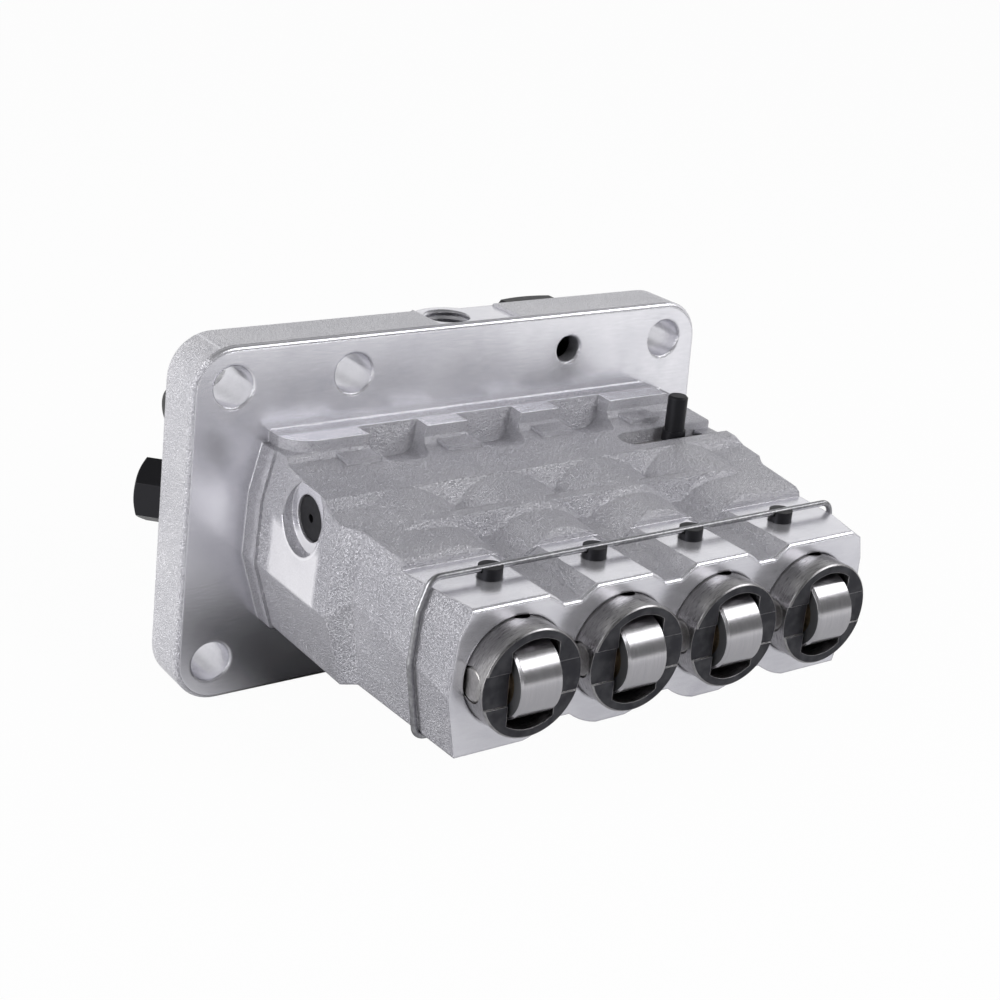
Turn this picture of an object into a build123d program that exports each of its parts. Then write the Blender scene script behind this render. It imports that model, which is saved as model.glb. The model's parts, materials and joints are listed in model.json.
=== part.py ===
from build123d import *

import os

# In-line diesel injection pump for four cylinders, without a camshaft of its own.
# The engine's cams push the roller tappets, and each tappet lifts one plunger.
#
# Frame: the origin lies on the flange's mounting face, midway along the row of plungers.
# +X runs along the row, +Y from the rollers to the delivery outlets, +Z to the rack's pin.
# All lengths are millimetres.

# Row of plungers
plunger_count = 4
plunger_pitch = 25.0
plunger_xs = [plunger_pitch * (i - (plunger_count - 1) / 2) for i in range(plunger_count)]
valley_xs = [x + plunger_pitch / 2 for x in plunger_xs[:-1]]
pump_lift = 8.0

# Fits
running_gap = 0.05
press_gap = 0.02
free_gap = 0.3
seat_gap = 0.1

# Space taken away round the casting, and the turned crown of hexagon heads
relief_height = 40.0
crown_inset = 0.3
crown_slope = 0.5

# Flange
flange_thickness = 13.3
flange_middle_x = -4.1
hole_middle_x = -4.4
flange_top_z = 44.6
flange_bottom_z = -35.8
flange_top_width = 132.6
flange_bottom_width = 138.8
flange_corner = 10.0
flange_edge_chamfer = 1.0
flange_rear_fillet = 1.5
mount_hole_d = 9.0
mount_hole_chamfer = 0.4
top_hole_z = 35.8
top_hole_spacing = 113.8
inner_hole_spacing = 57.1
bottom_hole_z = -26.5
bottom_hole_spacing = 120.6
passage_d = 6.4
passage_chamfer = 0.35

# Fuel inlet on the flange's top edge
inlet_x = -4.7
inlet_y = 8.4
inlet_minor_d = 10.5
inlet_thread_depth = 12.0
inlet_boss_r = 10.0
inlet_boss_rear_y = 15.3
inlet_boss_depth = 16.0
spot_face_depth = 0.7
spot_face_left = -11.0
spot_face_right = 10.7
spot_face_front_y = 1.3
inlet_drill_d = 7.0

# Fuel gallery along the row, inside the flange
gallery_d = 6.0
gallery_z = 5.0
gallery_plug_d = 8.5
gallery_plug_length = 7.0
gallery_plug_key = 4.0
gallery_plug_key_depth = 4.0
gallery_plug_recess = 1.4
gallery_left_x = -52.0

# Body: a root block at the flange, a small step inwards, and a block that narrows to the end
body_length = 73.0
step_rear_y = -35.5
step_front_y = -39.5
root_outline = [
    (-52.9, 25.4), (-56.4, 12.0), (-57.4, -2.0), (-53.1, -17.6),
    (52.1, -17.6), (56.3, -2.0), (55.4, 17.0), (52.6, 23.4), (47.6, 25.4),
]
front_outline = [
    (-51.2, 21.0), (-53.4, 11.5), (-53.8, 3.0), (-51.3, -16.1),
    (50.5, -16.1), (54.1, 3.0), (53.8, 13.0), (52.4, 18.5), (48.6, 21.0),
]
end_outline = [
    (-47.9, 14.4), (-50.8, 9.0), (-52.1, -3.0), (-49.7, -16.1),
    (48.9, -16.1), (52.5, -3.0), (52.4, 8.0), (51.3, 12.9), (48.7, 14.4),
]
collar_length = 5.5
collar_height = 0.7
land_top_z = 25.4
land_depth = 9.3
land_left = -52.8
land_right = 47.6
land_corner = 7.0
plate_rear_z = 21.6
plate_front_z = 20.2
plate_front_y = -27.6
pocket_offset = -2.4
pocket_xs = [x + pocket_offset for x in valley_xs]
pocket_width = 13.0
pocket_rear_y = -6.2
pocket_floor_z = 18.4
pocket_reach = 14.0
pocket_tilt = 15.0
pocket_corner = 4.2
land_foot = 1.3
pad_width = 8.2
pad_offset = 4.5
pad_front_y = -15.0
pad_rise = 0.7

# Bulges round the plunger bores and the valleys between them
bulge_rear_r = 20.2
bulge_rib_r = 18.5
bulge_step_r = 17.3
bulge_front_r = 16.6
bulge_front_y = -53.0
lobe_r = 16.0
facet_z = 14.5
rib_rear_y = -38.4
rib_front_y = -40.9
rib_foot_y = -42.3
rib_z = 18.4
valley_profile = [
    (-30.6, 15.5), (-37.4, 15.5), (rib_rear_y, rib_z), (rib_front_y, rib_z - 0.1),
    (rib_foot_y, 13.5), (-53.0, 12.9),
]
shoulder_profile = [(-30.2, 18.6), (-36.0, 17.7), (-49.5, 16.6), (-54.0, 16.1)]
end_valley_z = 12.0
facet_rear_y = -52.4
facet_wall_z = 15.6
facet_step_y = -50.2
facet_step_z = 17.2
end_edge_chamfer = 0.7
bottom_valley_z = -12.7
bottom_lobe_r = 16.5
bottom_lobe_rear_y = -24.0

# Bores for each plunger line, as radius and y
tappet_d = 22.6
tappet_bore_r = tappet_d / 2 + running_gap
tappet_bore_inner_y = -35.0
sleeve_chamber_r = 9.6
barrel_step_y = -8.0
barrel_r = 8.0
barrel_shoulder_r = 9.4
barrel_shoulder_y = 16.0
barrel_top_y = 24.0
fuel_chamber_r = 10.0
fuel_chamber_length = 7.0
bore_mouth_chamfer = 0.3

# Head behind the flange
head_left = -53.5
head_right = 51.5
head_top_z = 15.0
head_bottom_z = -21.0
head_end_y = 46.0
head_fillet = 3.5
port_block_right = -37.0
port_block_top_z = 28.0
port_block_rear_y = 33.0
port_block_corner = 4.0
holder_thread_r = 10.0
holder_thread_y = 26.0

# Control rack and its pin
rack_y = -21.5
rack_z = 13.8
rack_bore_d = 10.0
rack_end_gap = 1.2
rack_travel = 6.0
lever_ball_r = 2.0
lever_ball_z = 11.8
lever_arm_r = 0.95
rack_notch_gap = 0.15
lever_window_half_x = 8.2
lever_window_half_y = 2.8
rack_slot_left = 25.0
rack_slot_width = 6.4
rack_pin_x = 40.5
rack_pin_d = 4.6
rack_pin_top_z = 29.6
rack_pin_collar_d = 5.4
rack_pin_collar_top_z = 21.4
rack_pin_foot_z = 14.4
rack_pin_chamfer = 0.4
rack_plug_thickness = 3.0
rack_plug_left = -54.2
rack_plug_right = 53.9
rack_plug_spot_r = 7.6
rack_plug_recess = 0.3
rack_plug_edge = 0.6
rack_plug_dimple_r = 0.9
rack_plug_dimple_depth = 1.0
rack_slot_right = 49.5
rack_slot_end_z = 19.1
rack_edge = 0.4

# Roller tappet, as y at rest
tappet_end_y = -79.3
tappet_rear_y = -55.0
tappet_floor_y = -65.9
tappet_web_y = -62.5
tappet_cup_r = 9.6
tappet_opening_r = 9.4
tappet_opening_width = 10.8
tappet_edge = 0.3
cheek_band_height = 7.0
cheek_band_depth = 0.35
roller_y = -74.6
roller_d = 16.0
roller_width = 9.6
roller_edge = 0.5
roller_bush_wall = 1.6
roller_pin_d = 7.2
roller_pin_length = 21.6
guide_slot_width = 4.0
guide_slot_floor_z = 10.1
guide_slot_front_y = -74.2

# Guide pins and the wire that holds them down
guide_pin_y = -61.5
guide_pin_offset = 0.6
guide_pin_d = 5.0
guide_pin_tip_d = 3.8
guide_pin_top_z = 16.9
guide_pin_foot_z = 11.5
wire_d = 1.3
wire_stand = 1.4
wire_slot_gap = 0.1
wire_bend_r = 2.6
wire_side_gap = 0.3
wire_corner_offset = 1.05
wire_hook_length = 5.0

# Plunger, barrel and control sleeve
plunger_d = 8.0
plunger_top_y = 5.5
plunger_foot_r = 5.0
plunger_foot_height = 1.7
plunger_groove_y = -3.5
plunger_groove_height = 4.0
plunger_groove_r = 2.7
plunger_groove_tilt = 22.0
plunger_slot_width = 1.8
barrel_nose_r = 6.4
barrel_nose_y = -17.0
feed_port_d = 3.0
sleeve_wall = 1.7
sleeve_front_y = -34.9
sleeve_rear_y = -9.5
sleeve_slot_width = 3.3
vane_front_y = -29.0
vane_height = 3.5
vane_half_length = 8.0
sleeve_slot_rear_y = vane_front_y + vane_height + pump_lift + free_gap

# Plunger springs and their seats
upper_seat_thickness = 2.0
upper_seat_bore_r = 5.2
lower_seat_thickness = 2.0
lower_seat_skirt_wall = 2.6
spring_wire_d = 2.4
spring_mean_r = 8.1
spring_turns = 4.5

# Delivery valves, their seats, springs, holders and seals
valve_seat_r = 8.2
valve_seat_collar = 6.0
valve_seat_neck_r = 6.0
valve_seat_top_y = 38.0
valve_stem_r = 3.0
valve_stem_foot_y = 27.0
valve_head_r = 4.2
valve_head_height = 3.0
valve_peg_r = 1.7
valve_peg_height = 2.6
valve_flute_count = 4
valve_lift = 2.5
gasket_thickness = 1.2
valve_spring_wire_d = 0.8
valve_spring_mean_r = 2.7
valve_spring_turns = 6
valve_peg_gap = 4.5
valve_spring_room = valve_peg_height + valve_lift + valve_peg_gap
holder_lower_r = 6.3
holder_bore_r = 4.7
holder_collar_r = 11.7
holder_collar_height = 2.0
holder_collar_gap = 0.05
holder_neck_at_ring_r = 9.25
holder_hex = 19.0
holder_hex_height = 9.0
holder_neck_r = 5.2
holder_neck_height = 2.0
outlet_thread_d = 12.0
outlet_length = 14.0
outlet_bore_d = 3.0
outlet_cone_d = 7.6
outlet_cone_depth = 3.3
outlet_edge = 0.8
valve_flute_length = 8.5
o_ring_r = 0.95
o_ring_seat_depth = 2.0

# Plates that stop the holders from turning, and their screws
lock_plate_head_offset = 11.4
lock_plate_length = 22.0
lock_plate_height = 8.6
lock_plate_corner = 2.0
lock_plate_thickness = 3.0
lock_tongue_length = 4.0
lock_pad_r = 4.2
lock_screw_offset = 15.6
lock_screw_d = 5.0
lock_screw_length = 12.0
lock_screw_hex = 8.0
lock_screw_head = 3.5

# Plug in the flange's rear face
rear_plug_z = 31.1
rear_plug_hex = 24.0
rear_plug_head = 5.2
rear_washer_d = 23.6
rear_washer_thickness = 1.5
rear_plug_hollow_r = 6.0
rear_plug_thread_d = 16.0
rear_plug_thread_length = 8.0

# Vent screw on a slanting boss, and the capped return port beside it
vent_x = -63.5
vent_y = 21.5
vent_z = 4.7
vent_boss_r = 7.5
vent_boss_length = 14.0
vent_thread_d = 8.0
vent_thread_length = 11.0
vent_hex = 13.0
vent_head = 6.5
vent_drill_d = 5.0
vent_drill_depth = 22.0
vent_washer_d = 13.0
vent_washer_thickness = 1.2
return_y = 22.5
return_z = 24.3
return_boss_r = 6.0
return_boss_length = 14.0
return_face_x = -60.2
return_cap_r = 4.6
return_cap_height = 5.2
return_stub_r = 3.5
return_stub_length = 9.0
return_cap_edge = 1.2

# Places that follow from the sizes above
cut_reach = flange_bottom_width / 2 + free_gap
gallery_side = (flange_top_z - gallery_z) / (flange_top_z - flange_bottom_z)
gallery_flange_width = flange_top_width + gallery_side * (flange_bottom_width - flange_top_width)
gallery_plug_face_x = flange_middle_x + gallery_flange_width / 2 - gallery_plug_recess
guide_pin_xs = [x + guide_pin_offset for x in plunger_xs]
end_edge_y = -body_length + end_edge_chamfer
pocket_height = land_top_z - pocket_floor_z + 1
pocket_mouth = Plane(origin=(0, pocket_rear_y, pocket_floor_z), x_dir=(1, 0, 0), z_dir=(0, -1, 0))
lock_xs = [valley_xs[0], valley_xs[2]]
lock_plate_y = head_end_y + holder_collar_gap + holder_collar_height + seat_gap
o_ring_seat_y = head_end_y - o_ring_seat_depth
o_ring_mean_r = holder_neck_at_ring_r + o_ring_r + press_gap
o_ring_seat_r = o_ring_mean_r + o_ring_r + press_gap
holder_collar_y = head_end_y + holder_collar_gap
holder_hex_y = holder_collar_y + holder_collar_height
outlet_y = holder_hex_y + holder_hex_height + holder_neck_height
passage_x = hole_middle_x + inner_hole_spacing / 2
rear_plug_x = passage_x
mount_holes = [
    (hole_middle_x - top_hole_spacing / 2, top_hole_z),
    (hole_middle_x - inner_hole_spacing / 2, top_hole_z),
    (hole_middle_x + top_hole_spacing / 2, top_hole_z),
    (hole_middle_x - bottom_hole_spacing / 2, bottom_hole_z),
    (hole_middle_x + bottom_hole_spacing / 2, bottom_hole_z),
]
vent_face = Plane(origin=(vent_x, vent_y, vent_z), x_dir=(0, 0, 1), z_dir=(-1, 1, 0))
return_face = Plane(origin=(return_face_x, return_y, return_z), x_dir=(0, 1, 0), z_dir=(-1, 0, 0))

os.makedirs("parts", exist_ok=True)


def write_part(piece, label):
    """Give a finished piece its name and write it to its own file."""
    piece.label = label
    export_step(piece, "parts/" + label + ".step")


def facing_rollers(y):
    """A plane square to the plungers at the given y, with local x along X and local y along Z."""
    return Plane(origin=(0, y, 0), x_dir=(1, 0, 0), z_dir=(0, -1, 0))


def facing_outlets(x, y, z):
    """A plane at a point that looks towards the delivery side, so that extruding goes to +Y."""
    return Plane(origin=(x, y, z), x_dir=(-1, 0, 0), z_dir=(0, 1, 0))


def lock_side(x, y):
    """A plane that looks towards the delivery side, with local y downwards to the lock screws."""
    return Plane(origin=(x, y, 0), x_dir=(1, 0, 0), z_dir=(0, 1, 0))


def across_row(x):
    """A plane square to the row at the given x, with local x along Y and local y along Z."""
    return Plane(origin=(x, 0, 0), x_dir=(0, 1, 0), z_dir=(1, 0, 0))


def level(z):
    """A level plane at the given z."""
    return Plane.XY.offset(z)


def turned_on(seat, profile, mode=Mode.ADD):
    """Turn a profile of (radius, height) points about the normal of a seat plane."""
    with BuildSketch(Plane(origin=seat.origin, x_dir=seat.x_dir, z_dir=-seat.y_dir)) as section:
        with BuildLine():
            Polyline(*profile, close=True)
        make_face()
    revolve(section.sketch, axis=Axis(seat.origin, seat.z_dir), mode=mode)


def turned(x, profile, mode=Mode.ADD):
    """Turn a profile of (radius, y) points about the plunger line through x."""
    turned_on(facing_outlets(x, 0, 0), profile, mode=mode)


def hex_head(seat, across_flats, height):
    """Add a hexagon head on a seat plane, with its corners turned down at the crown."""
    with BuildSketch(seat) as hexagon:
        RegularPolygon(across_flats / 2, 6, major_radius=False)
    extrude(hexagon.sketch, amount=height)
    crown_r = across_flats / 2 - crown_inset
    turned_on(seat, [
        (crown_r, height + 0.01),
        (across_flats, height + 0.01),
        (across_flats, height - (across_flats - crown_r) * crown_slope),
    ], mode=Mode.SUBTRACT)


# Space above the valleys, above the shoulder at each end of the row, and beside the bulges
with BuildPart() as top_relief:
    shoulder_width = cut_reach - plunger_xs[-1]
    for left_x, width, profile, end_z in (
        (-cut_reach, shoulder_width, shoulder_profile, facet_z),
        (plunger_xs[0], plunger_xs[-1] - plunger_xs[0], valley_profile, end_valley_z),
        (plunger_xs[-1], shoulder_width, shoulder_profile, facet_z),
    ):
        with BuildSketch(across_row(left_x)):
            with BuildLine():
                Polyline(
                    (plate_front_y, relief_height),
                    (plate_front_y, plate_front_z),
                    *profile,
                    (end_edge_y, end_z),
                    (-body_length - 1, end_z - end_edge_chamfer - 1),
                    (-body_length - 1, relief_height),
                    close=True,
                )
            make_face()
        extrude(amount=width)
    for x in plunger_xs:
        turned(x, [
            (0, plate_front_y + 1),
            (bulge_rear_r, plate_front_y + 1),
            (bulge_rear_r, plate_front_y),
            (bulge_rib_r, rib_front_y),
            (bulge_step_r, rib_foot_y),
            (bulge_front_r, bulge_front_y),
            (lobe_r, bulge_front_y),
            (lobe_r, end_edge_y),
            (lobe_r - end_edge_chamfer - 2, -body_length - 2),
            (0, -body_length - 2),
        ], mode=Mode.SUBTRACT)

# Space below the valleys between the lobes, on the casting's lower side
with BuildPart() as bottom_relief:
    for x in valley_xs:
        with BuildSketch(facing_rollers(bottom_lobe_rear_y)):
            with Locations((x, bottom_valley_z - relief_height / 2)):
                Rectangle(plunger_pitch, relief_height)
        extrude(amount=body_length)
    for x in plunger_xs:
        with BuildSketch(facing_rollers(bottom_lobe_rear_y + 1)):
            with Locations((x, 0)):
                Circle(bottom_lobe_r)
        extrude(amount=body_length + 2, mode=Mode.SUBTRACT)

# One casting holds the mounting flange, the body with the tappet bores and the head
with BuildPart() as pump_housing:
    with BuildSketch(facing_rollers(0)):
        with BuildLine():
            Polyline(
                (flange_middle_x - flange_top_width / 2, flange_top_z),
                (flange_middle_x + flange_top_width / 2, flange_top_z),
                (flange_middle_x + flange_bottom_width / 2, flange_bottom_z),
                (flange_middle_x - flange_bottom_width / 2, flange_bottom_z),
                close=True,
            )
        outline = make_face()
        fillet(outline.vertices(), flange_corner)
    extrude(amount=-flange_thickness)
    rear_rim = pump_housing.faces().sort_by(Axis.Y)[-1].edges()
    fillet(rear_rim, flange_rear_fillet)
    front_rim = pump_housing.faces().sort_by(Axis.Y)[0].edges()
    chamfer(front_rim.group_by(Axis.Z)[-1], flange_edge_chamfer)

    with BuildSketch(level(flange_top_z)):
        with Locations((inlet_x, inlet_boss_rear_y - inlet_boss_r)):
            Circle(inlet_boss_r)
        with Locations((inlet_x, spot_face_front_y - inlet_boss_r)):
            Rectangle(3 * inlet_boss_r, 2 * inlet_boss_r, mode=Mode.SUBTRACT)
    extrude(amount=-inlet_boss_depth)
    spot_face_width = spot_face_right - spot_face_left
    with BuildSketch(level(flange_top_z - spot_face_depth)):
        with Locations(((spot_face_left + spot_face_right) / 2, spot_face_front_y + relief_height / 2)):
            Rectangle(spot_face_width, relief_height)
    extrude(amount=relief_height, mode=Mode.SUBTRACT)

    blocks = [
        (0, root_outline, step_rear_y, root_outline),
        (step_rear_y, root_outline, step_front_y, front_outline),
        (step_front_y, front_outline, -body_length, end_outline),
    ]
    for rear_y, rear_points, front_y, front_points in blocks:
        for y, points in ((rear_y, rear_points), (front_y, front_points)):
            with BuildSketch(facing_rollers(y)):
                with BuildLine():
                    Polyline(*points, close=True)
                make_face()
        loft(ruled=True)
    with BuildSketch(facing_rollers(0)):
        with BuildLine():
            Polyline(*root_outline, close=True)
        make_face()
        offset(amount=collar_height)
    extrude(amount=collar_length)

    # The sloping top is brought down to the cast plate, and the valleys are opened
    with BuildSketch(across_row(-cut_reach)):
        with BuildLine():
            Polyline(
                (0, relief_height),
                (0, plate_rear_z + land_foot),
                (-land_depth, plate_rear_z + land_foot),
                (-land_depth - land_foot, plate_rear_z),
                (plate_front_y, plate_front_z),
                (plate_front_y, relief_height),
                close=True,
            )
        make_face()
    extrude(amount=2 * cut_reach, mode=Mode.SUBTRACT)
    add(top_relief.part, mode=Mode.SUBTRACT)
    add(bottom_relief.part, mode=Mode.SUBTRACT)

    # Machined land beside the flange, rounded at its outer front corner
    with BuildSketch(level(plate_rear_z - 2)):
        with Locations(((land_left + land_right) / 2, -land_depth / 2)):
            land = Rectangle(land_right - land_left, land_depth)
        fillet(land.vertices().group_by(Axis.Y)[0].sort_by(Axis.X)[0], land_corner)
    extrude(amount=land_top_z - plate_rear_z + 2)
    for x in plunger_xs:
        with BuildSketch(level(plate_front_z)):
            with Locations((x - pad_offset + pad_width / 2, (pad_front_y - land_depth) / 2)):
                Rectangle(pad_width, -land_depth - pad_front_y)
        extrude(amount=plate_rear_z + pad_rise - plate_front_z)
    for x in pocket_xs:
        pocket_left_x = x - pocket_width / 2
        pocket_right_x = x + pocket_width / 2
        with BuildSketch(pocket_mouth.rotated((-pocket_tilt, 0, 0))):
            with BuildLine():
                FilletPolyline(
                    (pocket_left_x, pocket_height),
                    (pocket_left_x, 0),
                    (pocket_right_x, 0),
                    (pocket_right_x + pocket_corner / 2, pocket_height),
                    radius=pocket_corner,
                    close=False,
                )
                Line((pocket_right_x + pocket_corner / 2, pocket_height), (pocket_left_x, pocket_height))
            make_face()
        extrude(amount=pocket_reach, mode=Mode.SUBTRACT)

    # Machined facets on top of the lobes, where the wire lies
    with BuildSketch(across_row(-cut_reach)):
        with BuildLine():
            Polyline(
                (facet_step_y, relief_height),
                (facet_step_y, facet_step_z),
                (facet_rear_y, facet_wall_z),
                (facet_rear_y, facet_z),
                (end_edge_y, facet_z),
                (-body_length - 1, facet_z - end_edge_chamfer - 1),
                (-body_length - 1, relief_height),
                close=True,
            )
        make_face()
    extrude(amount=2 * cut_reach, mode=Mode.SUBTRACT)

    # Head behind the flange, with the slanting vent boss and the boss of the return port
    with BuildSketch(facing_outlets(0, flange_thickness - 1, 0)):
        with Locations((-(head_left + head_right) / 2, (head_top_z + head_bottom_z) / 2)):
            RectangleRounded(head_right - head_left, head_top_z - head_bottom_z, head_fillet)
    extrude(amount=head_end_y - flange_thickness + 1)
    with BuildSketch(level(0)):
        with Locations(((head_left + port_block_right) / 2, (flange_thickness + port_block_rear_y) / 2)):
            port_block = Rectangle(port_block_right - head_left, port_block_rear_y - flange_thickness)
        fillet(port_block.vertices().group_by(Axis.Y)[-1], port_block_corner)
    extrude(amount=port_block_top_z)
    for x in lock_xs:
        with BuildSketch(lock_side(x, head_end_y)):
            with Locations((0, lock_screw_offset)):
                Circle(lock_pad_r)
        extrude(amount=lock_plate_y - head_end_y)
    with BuildSketch(vent_face):
        Circle(vent_boss_r)
    extrude(amount=-vent_boss_length)
    with BuildSketch(return_face):
        Circle(return_boss_r)
    extrude(amount=-return_boss_length)

    # Bores of the four plunger lines, one turned cut for each
    for x in plunger_xs:
        turned(x, [
            (0, -body_length - 1),
            (tappet_bore_r + bore_mouth_chamfer + 1, -body_length - 1),
            (tappet_bore_r, -body_length + bore_mouth_chamfer),
            (tappet_bore_r, tappet_bore_inner_y),
            (sleeve_chamber_r, tappet_bore_inner_y),
            (sleeve_chamber_r, barrel_step_y),
            (barrel_r, barrel_step_y),
            (barrel_r, inlet_y - fuel_chamber_length / 2),
            (fuel_chamber_r, inlet_y - fuel_chamber_length / 2),
            (fuel_chamber_r, inlet_y + fuel_chamber_length / 2),
            (barrel_r, inlet_y + fuel_chamber_length / 2),
            (barrel_r, barrel_shoulder_y),
            (barrel_shoulder_r, barrel_shoulder_y),
            (barrel_shoulder_r, holder_thread_y),
            (holder_thread_r, holder_thread_y),
            (holder_thread_r, o_ring_seat_y),
            (o_ring_seat_r, o_ring_seat_y),
            (o_ring_seat_r, head_end_y + 1),
            (0, head_end_y + 1),
        ], mode=Mode.SUBTRACT)

    # Rack bore from end to end, its spot faces, the slot for the pin and the lever windows
    with BuildSketch(across_row(-cut_reach)):
        with Locations((rack_y, rack_z)):
            Circle(rack_bore_d / 2)
    extrude(amount=2 * cut_reach, mode=Mode.SUBTRACT)
    for face_x, outward in ((rack_plug_left, -1), (rack_plug_right, 1)):
        with BuildSketch(across_row(face_x)):
            with Locations((rack_y, rack_z)):
                Circle(rack_plug_spot_r)
        extrude(amount=outward * relief_height, mode=Mode.SUBTRACT)
    slot_straight = rack_slot_right - rack_slot_left - rack_slot_width / 2
    with BuildSketch(level(rack_z)):
        with Locations((rack_slot_left + rack_slot_width / 2, rack_y)):
            Circle(rack_slot_width / 2)
        with Locations((rack_slot_right - slot_straight / 2, rack_y)):
            Rectangle(slot_straight, rack_slot_width)
    extrude(amount=relief_height, mode=Mode.SUBTRACT)
    with BuildSketch(level(rack_slot_end_z)):
        with Locations((rack_slot_right + cut_reach / 2 - 1, rack_y)):
            Rectangle(cut_reach, rack_slot_width)
    extrude(amount=relief_height, mode=Mode.SUBTRACT)
    for x in plunger_xs:
        with BuildSketch(level(rack_z)):
            with Locations((x, rack_y)):
                Rectangle(2 * lever_window_half_x, 2 * lever_window_half_y)
        extrude(amount=-rack_z / 2, mode=Mode.SUBTRACT)

    # Holes for the guide pins, down into the tappet bores
    with BuildSketch(level(relief_height)):
        for x in guide_pin_xs:
            with Locations((x, guide_pin_y)):
                Circle(guide_pin_d / 2 + press_gap)
    extrude(amount=-relief_height, mode=Mode.SUBTRACT)

    # Mounting holes and the passage, each with a small chamfer at the mounting face
    for x, z in mount_holes:
        with BuildSketch(facing_rollers(0)):
            with Locations((x, z)):
                Circle(mount_hole_d / 2 + mount_hole_chamfer)
        extrude(amount=-mount_hole_chamfer, taper=45, mode=Mode.SUBTRACT)
        with BuildSketch(facing_rollers(0)):
            with Locations((x, z)):
                Circle(mount_hole_d / 2)
        extrude(amount=-2 * flange_thickness, mode=Mode.SUBTRACT)
    with BuildSketch(facing_rollers(0)):
        with Locations((passage_x, top_hole_z)):
            Circle(passage_d / 2 + passage_chamfer)
    extrude(amount=-passage_chamfer, taper=45, mode=Mode.SUBTRACT)
    with BuildSketch(facing_rollers(0)):
        with Locations((passage_x, top_hole_z)):
            Circle(passage_d / 2)
    extrude(amount=-flange_thickness, mode=Mode.SUBTRACT)
    with BuildSketch(facing_rollers(flange_thickness + 1)):
        with Locations((rear_plug_x, rear_plug_z)):
            Circle(rear_plug_thread_d / 2)
    extrude(amount=rear_plug_thread_length + 2, mode=Mode.SUBTRACT)

    # Fuel ways: inlet from the top edge, gallery along the row, slanting vent, return port
    with BuildSketch(level(flange_top_z + 1)):
        with Locations((inlet_x, inlet_y)):
            Circle(inlet_minor_d / 2)
    extrude(amount=-inlet_thread_depth - spot_face_depth - 1, mode=Mode.SUBTRACT)
    with BuildSketch(level(flange_top_z)):
        with Locations((inlet_x, inlet_y)):
            Circle(inlet_drill_d / 2)
    extrude(amount=gallery_z - flange_top_z, mode=Mode.SUBTRACT)
    with BuildSketch(across_row(gallery_left_x)):
        with Locations((inlet_y, gallery_z)):
            Circle(gallery_d / 2)
    extrude(amount=relief_height * 4, mode=Mode.SUBTRACT)
    with BuildSketch(across_row(gallery_plug_face_x - gallery_plug_length)):
        with Locations((inlet_y, gallery_z)):
            Circle(gallery_plug_d / 2 + press_gap)
    extrude(amount=relief_height, mode=Mode.SUBTRACT)
    with BuildSketch(vent_face):
        Circle(vent_thread_d / 2 + press_gap)
    extrude(amount=-vent_thread_length - 1, mode=Mode.SUBTRACT)
    with BuildSketch(vent_face):
        Circle(vent_drill_d / 2)
    extrude(amount=-vent_drill_depth, mode=Mode.SUBTRACT)
    with BuildSketch(return_face):
        Circle(return_stub_r + press_gap)
    extrude(amount=-return_stub_length - 1, mode=Mode.SUBTRACT)

    # Tapped holes for the screws of the lock plates
    for x in lock_xs:
        with BuildSketch(lock_side(x, lock_plate_y)):
            with Locations((0, lock_screw_offset)):
                Circle(lock_screw_d / 2 + press_gap)
        extrude(amount=-lock_screw_length, mode=Mode.SUBTRACT)
write_part(pump_housing.part, "pump_housing")


def coil_spring(x, low_y, high_y, mean_r, wire, turns):
    """An open coil spring on the plunger line through x, between two seats."""
    clear = wire / 2 + press_gap
    height = high_y - low_y - 2 * clear
    with BuildPart() as spring:
        with BuildLine() as coil:
            Helix(
                pitch=height / turns,
                height=height,
                radius=mean_r,
                center=(x, low_y + clear, 0),
                direction=(0, 1, 0),
            )
        with BuildSketch(Plane(origin=coil.line @ 0, z_dir=coil.line % 0)):
            Circle(wire / 2)
        sweep(path=coil.line, is_frenet=True)
    return spring.part


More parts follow.
